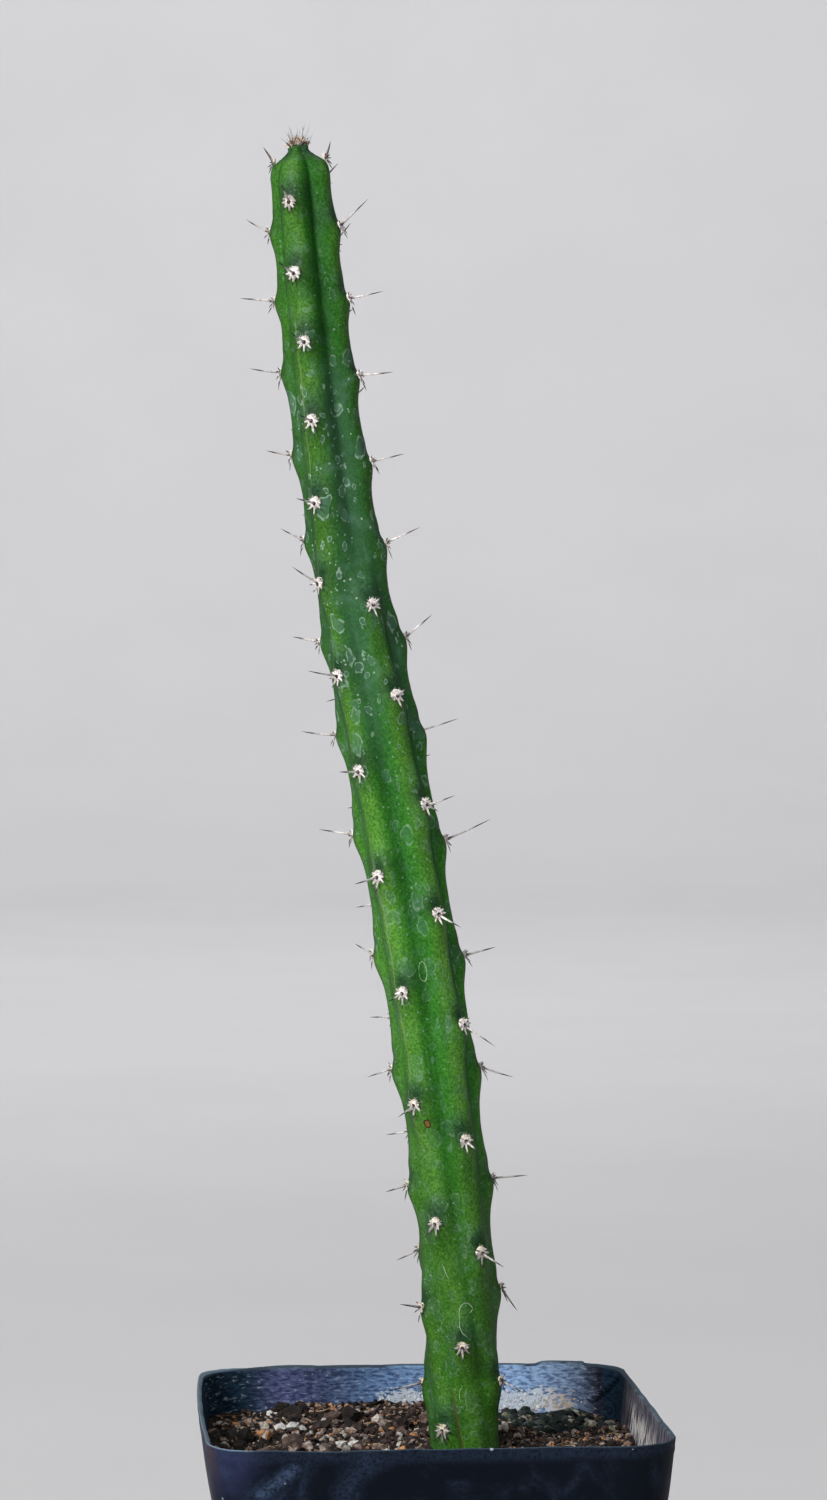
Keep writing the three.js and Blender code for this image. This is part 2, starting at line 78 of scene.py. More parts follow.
Array = np.ndarray
Number = float | Array
Pair = tuple[float, float]
Triple = tuple[float, float, float]
Floats = tuple[float, ...]
Colour = tuple[float, float, float, float]
Stops = tuple[tuple[float, Colour], ...]
Piece = bpy.types.Object
Material = bpy.types.Material
Socket = bpy.types.NodeSocket


class Slot(Enum):
    """The record's material slots."""

    POT_PLASTIC = "pot_plastic"
    POTTING_MIX = "potting_mix"
    CACTUS_SKIN = "cactus_skin"


class Node(Enum):
    """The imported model's nodes."""

    POT = "pot"
    MIX = "potting_mix"
    STEM = "spiny_stem"


# Numbers and draws


class SeededDraws:
    """Random draws from 0 to 1 that are the same in every run."""

    WORD = 0xFFFFFFFF

    def __init__(self, seed: int) -> None:
        """Starts the draws at a seed."""
        self.state = seed & self.WORD

    def __call__(self) -> float:
        """The next draw."""
        self.state = (self.state + 0x6D2B79F5) & self.WORD
        t = self.state
        t = ((t ^ (t >> 15)) * (t | 1)) & self.WORD
        t ^= (t + (t ^ (t >> 7)) * (t | 61)) & self.WORD
        return (t ^ (t >> 14)) / (self.WORD + 1)

    def spread(self, span: float) -> float:
        """A draw from a span that is centred on zero."""
        return (self() - 0.5) * span

    def between(self, low: float, high: float) -> float:
        """A draw between two values."""
        return low + (high - low) * self()

    def turn(self) -> float:
        """A turn in radians, up to a whole one."""
        return self() * 2 * math.pi

    def level_way(self) -> Array:
        """A level direction."""
        turn = self.turn()
        return np.array([math.cos(turn), math.sin(turn), 0.0])


def smooth(t: Number) -> Number:
    """A smooth step from 0 to 1 as t goes from 0 to 1."""
    t = np.clip(t, 0, 1)
    return t * t * (3 - 2 * t)


def bell(x: Number, width: float) -> Number:
    """A bell curve: one where x is zero, and fading over a width to each side."""
    return np.exp(-((x / width) ** 2))


def mix(a: Number, b: Number, t: Number) -> Number:
    """The value a share t of the way from a to b."""
    return a + (b - a) * t


def turn_from(turns: Number, other: Number) -> Number:
    """The degrees from one turn to another, from -180 to 180."""
    return (turns - other + 180) % 360 - 180


def unit(v: Array) -> Array:
    """Vectors, one a row, made one unit long."""
    return v / np.linalg.norm(v, axis=-1, keepdims=True)


def through(stations: Sequence[float], values: Sequence[float], at: Number) -> Array:
    """A smooth curve through a few stations.

    Args:
        stations: Where the values are given, in rising order.
        values: The values there.
        at: The places to read the curve at.

    Returns:
        The curve's values, held level past its ends.
    """
    s = np.asarray(stations, float)
    v = np.asarray(values, float)
    at = np.clip(np.asarray(at, float), s[0], s[-1])
    slopes = np.gradient(v, s)
    slopes[1:-1] = (v[2:] - v[:-2]) / (s[2:] - s[:-2])
    i = np.clip(np.searchsorted(s, at, side="right") - 1, 0, len(s) - 2)
    span = s[i + 1] - s[i]
    t = (at - s[i]) / span
    return (
        (2 * t**3 - 3 * t**2 + 1) * v[i]
        + (t**3 - 2 * t**2 + t) * span * slopes[i]
        + (3 * t**2 - 2 * t**3) * v[i + 1]
        + (t**3 - t**2) * span * slopes[i + 1]
    )


def rough(points: Array, grain: float, octaves: int = 3) -> Array:
    """Fractal noise.

    Args:
        points: The places, one a row, in any unit.
        grain: The size of its largest lumps, in the same unit.
        octaves: How many finer layers it has.

    Returns:
        A value for each place, about -1 to 1.
    """
    scaled = points / grain
    return np.array([noise.fractal(Vector(p), 1.0, 2.0, octaves) for p in scaled])


# Meshes


def deselect_all() -> None:
    """Leaves edit mode and deselects every object."""
    if bpy.context.mode != "OBJECT":
        bpy.ops.object.mode_set(mode="OBJECT")
    bpy.ops.object.select_all(action="DESELECT")


def select_only(piece: Piece) -> None:
    """Selects one piece alone and makes it active."""
    deselect_all()
    piece.select_set(True)
    bpy.context.view_layer.objects.active = piece


@contextmanager
def editing(piece: Piece, select: str = "VERT") -> Iterator[bmesh.types.BMesh]:
    """Edit mode on one piece, with nothing selected at the start.

    Args:
        piece: The mesh object.
        select: What is selected: VERT, EDGE or FACE.

    Yields:
        The mesh under edit.
    """
    select_only(piece)
    bpy.ops.object.mode_set(mode="EDIT")
    bpy.ops.mesh.select_mode(type=select)
    bpy.ops.mesh.select_all(action="DESELECT")
    yield bmesh.from_edit_mesh(piece.data)
    bpy.ops.object.mode_set(mode="OBJECT")


def select_edges(piece: Piece, wanted: Callable[[bmesh.types.BMEdge], bool]) -> None:
    """Selects the edges that a test picks, in edit mode."""
    edited = bmesh.from_edit_mesh(piece.data)
    for edge in edited.edges:
        edge.select_set(wanted(edge))
    bmesh.update_edit_mesh(piece.data)


def is_upright(edge: bmesh.types.BMEdge) -> bool:
    """Whether an edge of a primitive runs between two levels."""
    return abs(edge.verts[0].co.z - edge.verts[1].co.z) > 1e-7


def extrude_rings(start: Pair, rings: Sequence[Pair], scale: float = MM, level_end: bool = False) -> None:
    """Extrudes the selected edges, in edit mode, from ring to ring round the Z axis.

    Args:
        start: The half width and the height of the selected ring.
        rings: The half width and the height of each ring to come.
        scale: The unit that they are in, in metres.
        level_end: Whether the last ring is made level.
    """
    half, z = start
    for next_half, next_z in rings:
        grow = next_half / half
        keep = 0 if level_end and next_z == rings[-1][1] else 1
        middle = next_z * scale if level_end else 0
        bpy.ops.mesh.extrude_edges_move(TRANSFORM_OT_translate={"value": (0, 0, (next_z - z) * scale)})
        bpy.ops.transform.resize(value=(grow, grow, keep), center_override=(0, 0, middle))
        half, z = next_half, next_z


def named(name: str) -> Piece:
    """Names the piece that an operator has just made, and puts its place in its mesh."""
    made = bpy.context.active_object
    made.name = name
    made.data.name = name
    bpy.ops.object.transform_apply(location=True, rotation=True, scale=True)
    return made


def points_of(piece: Piece) -> Array:
    """The places of a mesh's vertices, one a row."""
    points = np.empty(len(piece.data.vertices) * 3)
    piece.data.vertices.foreach_get("co", points)
    return points.reshape(-1, 3)


def move_points(piece: Piece, points: Array) -> None:
    """Puts a mesh's vertices at new places."""
    piece.data.vertices.foreach_set("co", np.asarray(points, float).ravel())
    piece.data.update()


def close_and_face_out(piece: Piece, merge: float = 1e-6) -> None:
    """Merges doubled vertices and turns the faces outwards."""
    with editing(piece):
        bpy.ops.mesh.select_all(action="SELECT")
        bpy.ops.mesh.remove_doubles(threshold=merge)
        bpy.ops.mesh.normals_make_consistent(inside=False)


def shade(piece: Piece, angle: float) -> None:
    """Smooth shading, with edges sharper than an angle in degrees kept crisp."""
    select_only(piece)
    bpy.ops.object.shade_smooth_by_angle(angle=math.radians(angle))


def apply_modifiers(piece: Piece) -> None:
    """Applies all modifiers of a piece in their order."""
    select_only(piece)
    for modifier in list(piece.modifiers):
        bpy.ops.object.modifier_apply(modifier=modifier.name)


def store(piece: Piece, **values: Number) -> None:
    """Keeps named values for each vertex, which the finishes read."""
    for name, value in values.items():
        attribute = piece.data.attributes.new(name, "FLOAT", "POINT")
        filled = np.broadcast_to(np.asarray(value, np.float32), len(piece.data.vertices))
        attribute.data.foreach_set("value", np.ascontiguousarray(filled))


def store_vectors(piece: Piece, name: str, vectors: Array) -> None:
    """Keeps a vector for each vertex, which the finishes read."""
    attribute = piece.data.attributes.new(name, "FLOAT_VECTOR", "POINT")
    attribute.data.foreach_set("vector", np.asarray(vectors, np.float32).ravel())


def dress(piece: Piece, material: Material, slot: Slot, replaces: Node | None = None) -> None:
    """Gives a piece its finish, hangs it under the body and hides the node that it stands for.

    Args:
        piece: The mesh object.
        material: Its finish.
        slot: The record's slot that the finish goes by; not used.
        replaces: The node that it stands for, if it stands for one.
    """
    piece.data.materials.clear()
    piece.data.materials.append(material)
    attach(piece, BODY)
    if replaces:
        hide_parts(replaces.value)
    piece.data.calc_loop_triangles()
    LOG.info("%s: %d triangles", piece.name, len(piece.data.loop_triangles))


@dataclass
class Shape:
    """A small mesh that is modelled once and then copied."""

    points: Array
    faces: list[tuple[int, ...]]

    @classmethod
    def taken_from(cls, made: Piece) -> "Shape":
        """The shape of an object, which is then removed."""
        shape = cls(points_of(made), [tuple(face.vertices) for face in made.data.polygons])
        bpy.data.objects.remove(made)
        return shape


@dataclass
class Heap:
    """Copies of shapes, gathered into one mesh, with named values for each of their points."""

    points: list[Array] = field(default_factory=list)
    faces: list[tuple[int, ...]] = field(default_factory=list)
    values: dict[str, list[Array]] = field(default_factory=dict)
    count: int = 0

    def add(self, shape: Shape, points: Array, **values: Number) -> None:
        """Adds a copy of a shape, its points placed in millimetres.

        Args:
            shape: The shape, for its faces.
            points: Where the copy's points are.
            **values: A value for the whole copy, or one for each of its points.
        """
        self.points.append(points * MM)
        self.faces.extend(tuple(i + self.count for i in face) for face in shape.faces)
        self.count += len(points)
        for name, value in values.items():
            filled = np.broadcast_to(np.asarray(value, float), len(points))
            self.values.setdefault(name, []).append(filled)

    def piece(self, name: str, angle: float = 40.0) -> Piece:
        """The heap as one mesh object, smooth but for edges sharper than an angle."""
        mesh = bpy.data.meshes.new(name)
        mesh.from_pydata(np.concatenate(self.points).tolist(), [], self.faces)
        made = bpy.data.objects.new(name, mesh)
        bpy.context.scene.collection.objects.link(made)
        store(made, **{value: np.concatenate(parts) for value, parts in self.values.items()})
        shade(made, angle)
        return made


def needle_shape(sides: int, cuts: int, profile: Callable[[Array], Array]) -> Shape:
    """A needle one unit long and one unit in radius, pointing up.

    Args:
        sides: How many sides it has.
        cuts: How many times it is cut along its length.
        profile: Its radius at each share of its length.

    Returns:
        The shape.
    """
    deselect_all()
    bpy.ops.mesh.primitive_cone_add(vertices=sides, radius1=1, radius2=0, depth=1, location=(0, 0, 0.5))
    made = named("needle")
    with editing(made, "EDGE"):
        select_edges(made, is_upright)
        bpy.ops.mesh.subdivide(number_cuts=cuts)
    points = points_of(made)
    across = np.linalg.norm(points[:, :2], axis=1, keepdims=True)
    radius = profile(points[:, 2:3])
    points[:, :2] = np.divide(points[:, :2], across, where=across > 1e-6, out=np.zeros_like(points[:, :2]))
    points[:, :2] *= radius
    move_points(made, points)
    return Shape.taken_from(made)


def laid(
    shape: Shape, root: Array, way: Array, length: float, radius: float, lift: Array = UP, bow: float = 0.0
) -> Array:
    """The points of a slender upright shape laid along a direction.

    Args:
        shape: A shape from 0 to 1 along its own Z.
        root: Where it starts.
        way: Its direction.
        length: Its length.
        radius: Its radius.
        lift: The side that it is bowed towards.
        bow: How far its tip is bowed, as a share of its length.

    Returns:
        The points.
    """
    x, y, z = (shape.points[:, i : i + 1] for i in range(3))
    along = unit(np.asarray(way, float))
    side = np.cross(along, lift)
    if np.linalg.norm(side) < 1e-3:
        side = np.cross(along, [1.0, 0.0, 0.0])
    side = unit(side)
    upper = np.cross(side, along)
    return root + along * z * length + side * x * radius + upper * (y * radius + bow * length * z**2)


def threaded(shape: Shape, path: Array, radius: float) -> Array:
    """The points of a slender upright shape threaded along a path.

    Args:
        shape: A shape from 0 to 1 along its own Z.
        path: A few places that the path passes, one a row.
        radius: Its radius.

    Returns:
        The points.
    """
    x, y, z = shape.points.T
    stations = np.linspace(0, 1, len(path))
    step = 0.01

    def at(shares: Array) -> Array:
        """The path's places at shares of its way."""
        return np.column_stack([through(stations, axis, shares) for axis in path.T])

    along = unit(at(z + step) - at(z - step) + 1e-9)
    side = unit(np.cross(along, UP + [0.01, 0.02, 0.0]))
    upper = np.cross(side, along)
    return at(z) + (side * x[:, None] + upper * y[:, None]) * radius


def turned(points: Array, normal: Array, spin: float) -> Array:
    """Points with their Z laid along a normal.

    Args:
        points: The points, one a row.
        normal: The way that their Z is to have.
        spin: How far they are spun about it, in radians.

    Returns:
        The turned points.
    """
    axis = unit(np.asarray(normal, float))
    helper = np.array([1.0, 0.0, 0.0]) if abs(axis[0]) < 0.9 else np.array([0.0, 1.0, 0.0])
    first = unit(np.cross(axis, helper))
    second = np.cross(axis, first)
    c, s = math.cos(spin), math.sin(spin)
    across = first * c + second * s
    over = second * c - first * s
    return points[:, 0:1] * across + points[:, 1:2] * over + points[:, 2:3] * axis


# Node trees


class Blend(Enum):
    """How two colours are mixed."""

    MIX = "MIX"
    MULTIPLY = "MULTIPLY"


class Shader:
    """A node tree, with short ways to add its nodes and link them."""

    def __init__(self, tree: bpy.types.NodeTree) -> None:
        """Works on a tree."""
        self.tree = tree

    def add(self, kind: str, inputs: dict | None = None, **settings: object) -> bpy.types.Node:
        """Adds a node.

        Args:
            kind: Its type.
            inputs: Values or sockets for its inputs, by name or by number.
            **settings: Values for its own settings.

        Returns:
            The node.
        """
        made = self.tree.nodes.new(kind)
        for name, value in settings.items():
            setattr(made, name, value)
        self.feed(made, inputs or {})
        return made

    def feed(self, node: bpy.types.Node, inputs: dict) -> None:
        """Gives a node's inputs values, or links them to outputs.

        Args:
            node: The node.
            inputs: A value or a socket for each input, by name or by number.
        """
        for name, value in inputs.items():
            if isinstance(value, Socket):
                self.tree.links.new(value, node.inputs[name])
            else:
                node.inputs[name].default_value = value

    def place(self) -> Socket:
        """The place on the piece, in metres."""
        return self.add("ShaderNodeTexCoord").outputs["Object"]

    def axis(self, number: int) -> Socket:
        """One axis of the place on the piece, in metres: 0 is X and 2 is Z."""
        return self.add("ShaderNodeSeparateXYZ", {"Vector": self.place()}).outputs[number]

    def value(self, name: str) -> Socket:
        """A value that the mesh keeps."""
        return self.add("ShaderNodeAttribute", attribute_name=name).outputs["Fac"]

    def vector(self, name: str) -> Socket:
        """A vector that the mesh keeps."""
        return self.add("ShaderNodeAttribute", attribute_name=name).outputs["Vector"]

    def math(self, operation: str, a: object, b: object = 0.0) -> Socket:
        """The result of one operation on one or two values."""
        return self.add("ShaderNodeMath", {0: a, 1: b}, operation=operation).outputs[0]

    def both(self, *masks: object) -> Socket:
        """The product of masks and shares."""
        product = masks[0]
        for mask in masks[1:]:
            product = self.math("MULTIPLY", product, mask)
        return product

    def either(self, a: object, b: object) -> Socket:
        """The larger of two masks."""
        return self.math("MAXIMUM", a, b)

    def step(self, value: object, low: object, high: object, to: Pair = (0.0, 1.0)) -> Socket:
        """A smooth step.

        Args:
            value: What it follows.
            low: Where it starts.
            high: Where it ends, which may lie below its start.
            to: What it gives at its start and at its end.

        Returns:
            The step's value.
        """
        made = self.add(
            "ShaderNodeMapRange",
            {"Value": value, "From Min": low, "From Max": high, "To Min": to[0], "To Max": to[1]},
            interpolation_type="SMOOTHSTEP",
        )
        return made.outputs["Result"]

    def noise(self, vector: object, scale: object, detail: float = 2.0, distortion: object = 0.0) -> Socket:
        """Noise from 0 to 1, with its lumps a metre over scale across."""
        inputs = {"Vector": vector, "Scale": scale, "Detail": detail, "Distortion": distortion}
        return self.add("ShaderNodeTexNoise", inputs).outputs[0]

    def stretched(self, vector: object, scale: Sequence[float]) -> Socket:
        """A place scaled by its own amount along each axis."""
        return self.add("ShaderNodeMapping", {"Vector": vector, "Scale": scale}).outputs[0]

    def mix(self, share: object, a: object, b: object, blend: Blend = Blend.MIX) -> Socket:
        """Two colours mixed.

        Args:
            share: The share of the second colour.
            a: The first colour.
            b: The second colour.
            blend: How they are mixed.

        Returns:
            The colour.
        """
        colour_a, colour_b = 6, 7
        made = self.add(
            "ShaderNodeMix",
            {0: share, colour_a: a, colour_b: b},
            data_type="RGBA",
            blend_type=blend.value,
        )
        return made.outputs[2]

    def ramp(self, value: object, stops: Stops) -> Socket:
        """A colour ramp.

        Args:
            value: What runs along it, from 0 to 1.
            stops: Its places and their colours.

        Returns:
            The colour.
        """
        made = self.add("ShaderNodeValToRGB", {"Fac": value})
        elements = made.color_ramp.elements
        while len(elements) < len(stops):
            elements.new(1.0)
        for element, (place, colour) in zip(elements, stops):
            element.position = place
            element.color = colour
        return made.outputs["Color"]

    def bump(self, height: object, depth: float, below: object | None = None) -> Socket:
        """A normal bumped by a height from 0 to 1.

        Args:
            height: The height's socket.
            depth: What a height of 1 stands for, in metres.
            below: A normal that is bumped further, if there is one.

        Returns:
            The normal.
        """
        made = self.add("ShaderNodeBump", {"Height": height, "Distance": depth, "Strength": 1.0})
        if below is not None:
            self.feed(made, {"Normal": below})
        return made.outputs["Normal"]

    def effect(self, effect: "Effect", **inputs: object) -> bpy.types.Node:
        """Places a shared effect, with its inputs by name."""
        return self.add("ShaderNodeGroup", inputs, node_tree=effect.tree())


class Effect:
    """A shared effect: a node group that is built once and placed in many materials."""

    name = "effect"
    numbers: dict[str, float] = {}
    results: tuple[str, ...] = ()

    def tree(self) -> bpy.types.NodeTree:
        """The group's tree, built the first time that it is asked for."""
        known = bpy.data.node_groups.get(self.name)
        return known or self.build()

    def build(self) -> bpy.types.NodeTree:
        """Makes the group with its sockets, and fills it."""
        tree = bpy.data.node_groups.new(self.name, "ShaderNodeTree")
        tree.interface.new_socket("Vector", in_out="INPUT", socket_type="NodeSocketVector")
        for name, value in self.numbers.items():
            socket = tree.interface.new_socket(name, in_out="INPUT", socket_type="NodeSocketFloat")
            socket.default_value = value
        for name in self.results:
            tree.interface.new_socket(name, in_out="OUTPUT", socket_type="NodeSocketFloat")
        shader = Shader(tree)
        given = shader.add("NodeGroupInput").outputs
        shader.feed(shader.add("NodeGroupOutput"), self.fill(shader, given))
        return tree

    def fill(self, shader: Shader, given: bpy.types.NodeInputs) -> dict[str, Socket]:
        """Adds the group's own nodes and gives its results."""
        raise NotImplementedError


class Clouds(Effect):
    """Soft patches: where noise lies above a level."""

    name = "clouds"
    numbers = {"Scale": 100.0, "Low": 0.45, "High": 0.6, "Warp": 0.0}
    results = ("Mask",)

    def fill(self, shader: Shader, given: bpy.types.NodeInputs) -> dict[str, Socket]:
        """Noise, stepped between two levels."""
        lumps = shader.noise(given["Vector"], given["Scale"], 4.0, given["Warp"])
        return {"Mask": shader.step(lumps, given["Low"], given["High"])}


class Specks(Effect):
    """Small separate specks, such as lime, dust and grit."""

    name = "specks"
    numbers = {"Scale": 800.0, "Size": 0.3, "Share": 0.3}
    results = ("Mask",)

    def fill(self, shader: Shader, given: bpy.types.NodeInputs) -> dict[str, Socket]:
        """The middles of some cells, of uneven size."""
        cells = shader.add("ShaderNodeTexVoronoi", {"Vector": given["Vector"], "Scale": given["Scale"]})
        drawn = shader.add("ShaderNodeSeparateColor", {"Color": cells.outputs["Color"]})
        kept = shader.math("LESS_THAN", drawn.outputs[0], given["Share"])
        reach = shader.math("MULTIPLY", given["Size"], shader.math("ADD", drawn.outputs[1], 0.3))
        inside = shader.math("DIVIDE", cells.outputs["Distance"], reach)
        return {"Mask": shader.both(kept, shader.step(inside, 0.5, 1.0, (1.0, 0.0)))}


class MineralRings(Effect):
    """Pale rings that dried drops leave, each with a faint film inside it."""

    name = "mineral_rings"
    numbers = {"Scale": 220.0, "Radius": 0.35, "Width": 0.05, "Share": 0.4, "Warp": 0.3}
    results = ("Ring", "Film")

    def fill(self, shader: Shader, given: bpy.types.NodeInputs) -> dict[str, Socket]:
        """The outlines of some warped cells, broken up by noise."""
        wander = shader.add("ShaderNodeTexNoise", {"Vector": given["Vector"], "Scale": given["Scale"]})
        centred = shader.add(
            "ShaderNodeVectorMath", {0: wander.outputs["Color"], 1: (0.5,) * 3}, operation="SUBTRACT"
        )
        reach = shader.math("DIVIDE", given["Warp"], given["Scale"])
        shift = shader.add(
            "ShaderNodeVectorMath", {0: centred.outputs[0], "Scale": reach}, operation="SCALE"
        )
        warped = shader.add("ShaderNodeVectorMath", {0: given["Vector"], 1: shift.outputs[0]})
        cells = shader.add("ShaderNodeTexVoronoi", {"Vector": warped.outputs[0], "Scale": given["Scale"]})
        drawn = shader.add("ShaderNodeSeparateColor", {"Color": cells.outputs["Color"]})
        kept = shader.math("LESS_THAN", drawn.outputs[0], given["Share"])
        radius = shader.math("MULTIPLY", given["Radius"], shader.math("ADD", drawn.outputs[1], 0.45))
        away = shader.math("SUBTRACT", cells.outputs["Distance"], radius)
        band = shader.math("DIVIDE", shader.math("ABSOLUTE", away), given["Width"])
        broken = shader.step(shader.noise(given["Vector"], 900.0), 0.36, 0.56)
        ring = shader.both(kept, shader.step(band, 0.3, 1.0, (1.0, 0.0)), broken)
        film = shader.both(kept, shader.math("LESS_THAN", away, 0.0))
        return {"Ring": ring, "Film": film}


CLOUDS = Clouds()
SPECKS = Specks()
MINERAL_RINGS = MineralRings()


def new_material(name: str) -> tuple[Material, Shader, bpy.types.Node]:
    """A material with its shader tree and its surface node."""
    material = bpy.data.materials.new(name)
    material.use_nodes = True
    surface = next(n for n in material.node_tree.nodes if n.type == "BSDF_PRINCIPLED")
    return material, Shader(material.node_tree), surface


def rgb(red: float, green: float, blue: float) -> Colour:
    """A colour from linear red, green and blue."""
    return (red, green, blue, 1.0)


# The stem's form, which the skin, the wool and the spines share


@dataclass(frozen=True)
class Rib:
    """One rib: its turns along the stem, and its cushions from the tip down.

    A rib that the viewer sees lists its cushions. One at the back has only a phase, and its
    cushions follow a rule.
    """

    turns: Floats
    heights: Floats = ()
    aside: Floats = ()
    tilts: Floats = ()
    lengths: Floats = ()
    phase: float = 0.0


@dataclass(frozen=True)
class Cushion:
    """A wool cushion on a rib, with what its long spine needs."""

    height: float
    turn: float
    tilt: float
    swing: float
    length: float


RIBS = {
    "left": Rib(
        turns=(-22, -62, -80, -97, -94, -97, -98),
        heights=(285, 270, 255, 239.5, 221.5, 203, 181, 160.5, 138.5, 112, 86.5, 60.5, 33, 6),
        tilts=(62, 32, 10, 12, 17, 35, 22, 14, 18, 40, -12, -12, 15, -20),
        lengths=(4.2, 6, 7.5, 6.8, 5.5, 5.5, 6, 7.5, 7.5, 4.5, 5.5, 5, 5.5, 5),
    ),
    "front_left": Rib(
        turns=(20, -6, -29, -33, -46, -24, -21),
        heights=(275, 259.5, 244.5, 227.5, 210, 193, 173, 152, 129, 103.5, 79, 52.5, 24.5),
        aside=(0, -2, 4, 3, 0, -5, 1, 3, -2, 4, -4, 0, 2),
        tilts=(48, 14, 11, 8, 12, 31, 15, 6, -2, -8, -15, -20, -28),
        lengths=(5, 8, 8, 7, 6.5, 8.5, 8.5, 8, 8, 6, 6, 6, 6),
    ),
    "front_right": Rib(
        turns=(80, 48, 33, 40, 24, 20, 20),
        heights=(186.5, 166.5, 142.5, 119, 94.5, 70, 45, 16),
        aside=(0, 1, 8, -6, 11, -6, -3, 3),
        tilts=(15, 11, 6, -22, -32, -20, -20, -25),
        lengths=(6, 7.5, 8.5, 8.5, 9.5, 6, 7.5, 6),
    ),
    "right": Rib(
        turns=(140, 100, 98, 94, 88, 76, 68),
        heights=(284.5, 269.5, 253.5, 236.5, 217.5, 199.5, 178.5, 158, 134, 108.5, 84, 59.5, 35.5),
        tilts=(64, 36, 2, -4, 3, 14, 29, 7, 13, 5, -28, -3, -60),
        lengths=(3.8, 8.4, 8.4, 8, 7.5, 8.2, 7.5, 10, 11, 7, 7.5, 7.8, 6.5),
    ),
    "back_right": Rib(turns=(212, 168, 156, 152, 150, 142, 138), phase=0.5),
    "back_left": Rib(turns=(262, 242, 233, 222, 212, 208, 205), phase=0.82),
}
NEW_RIB = "front_right"


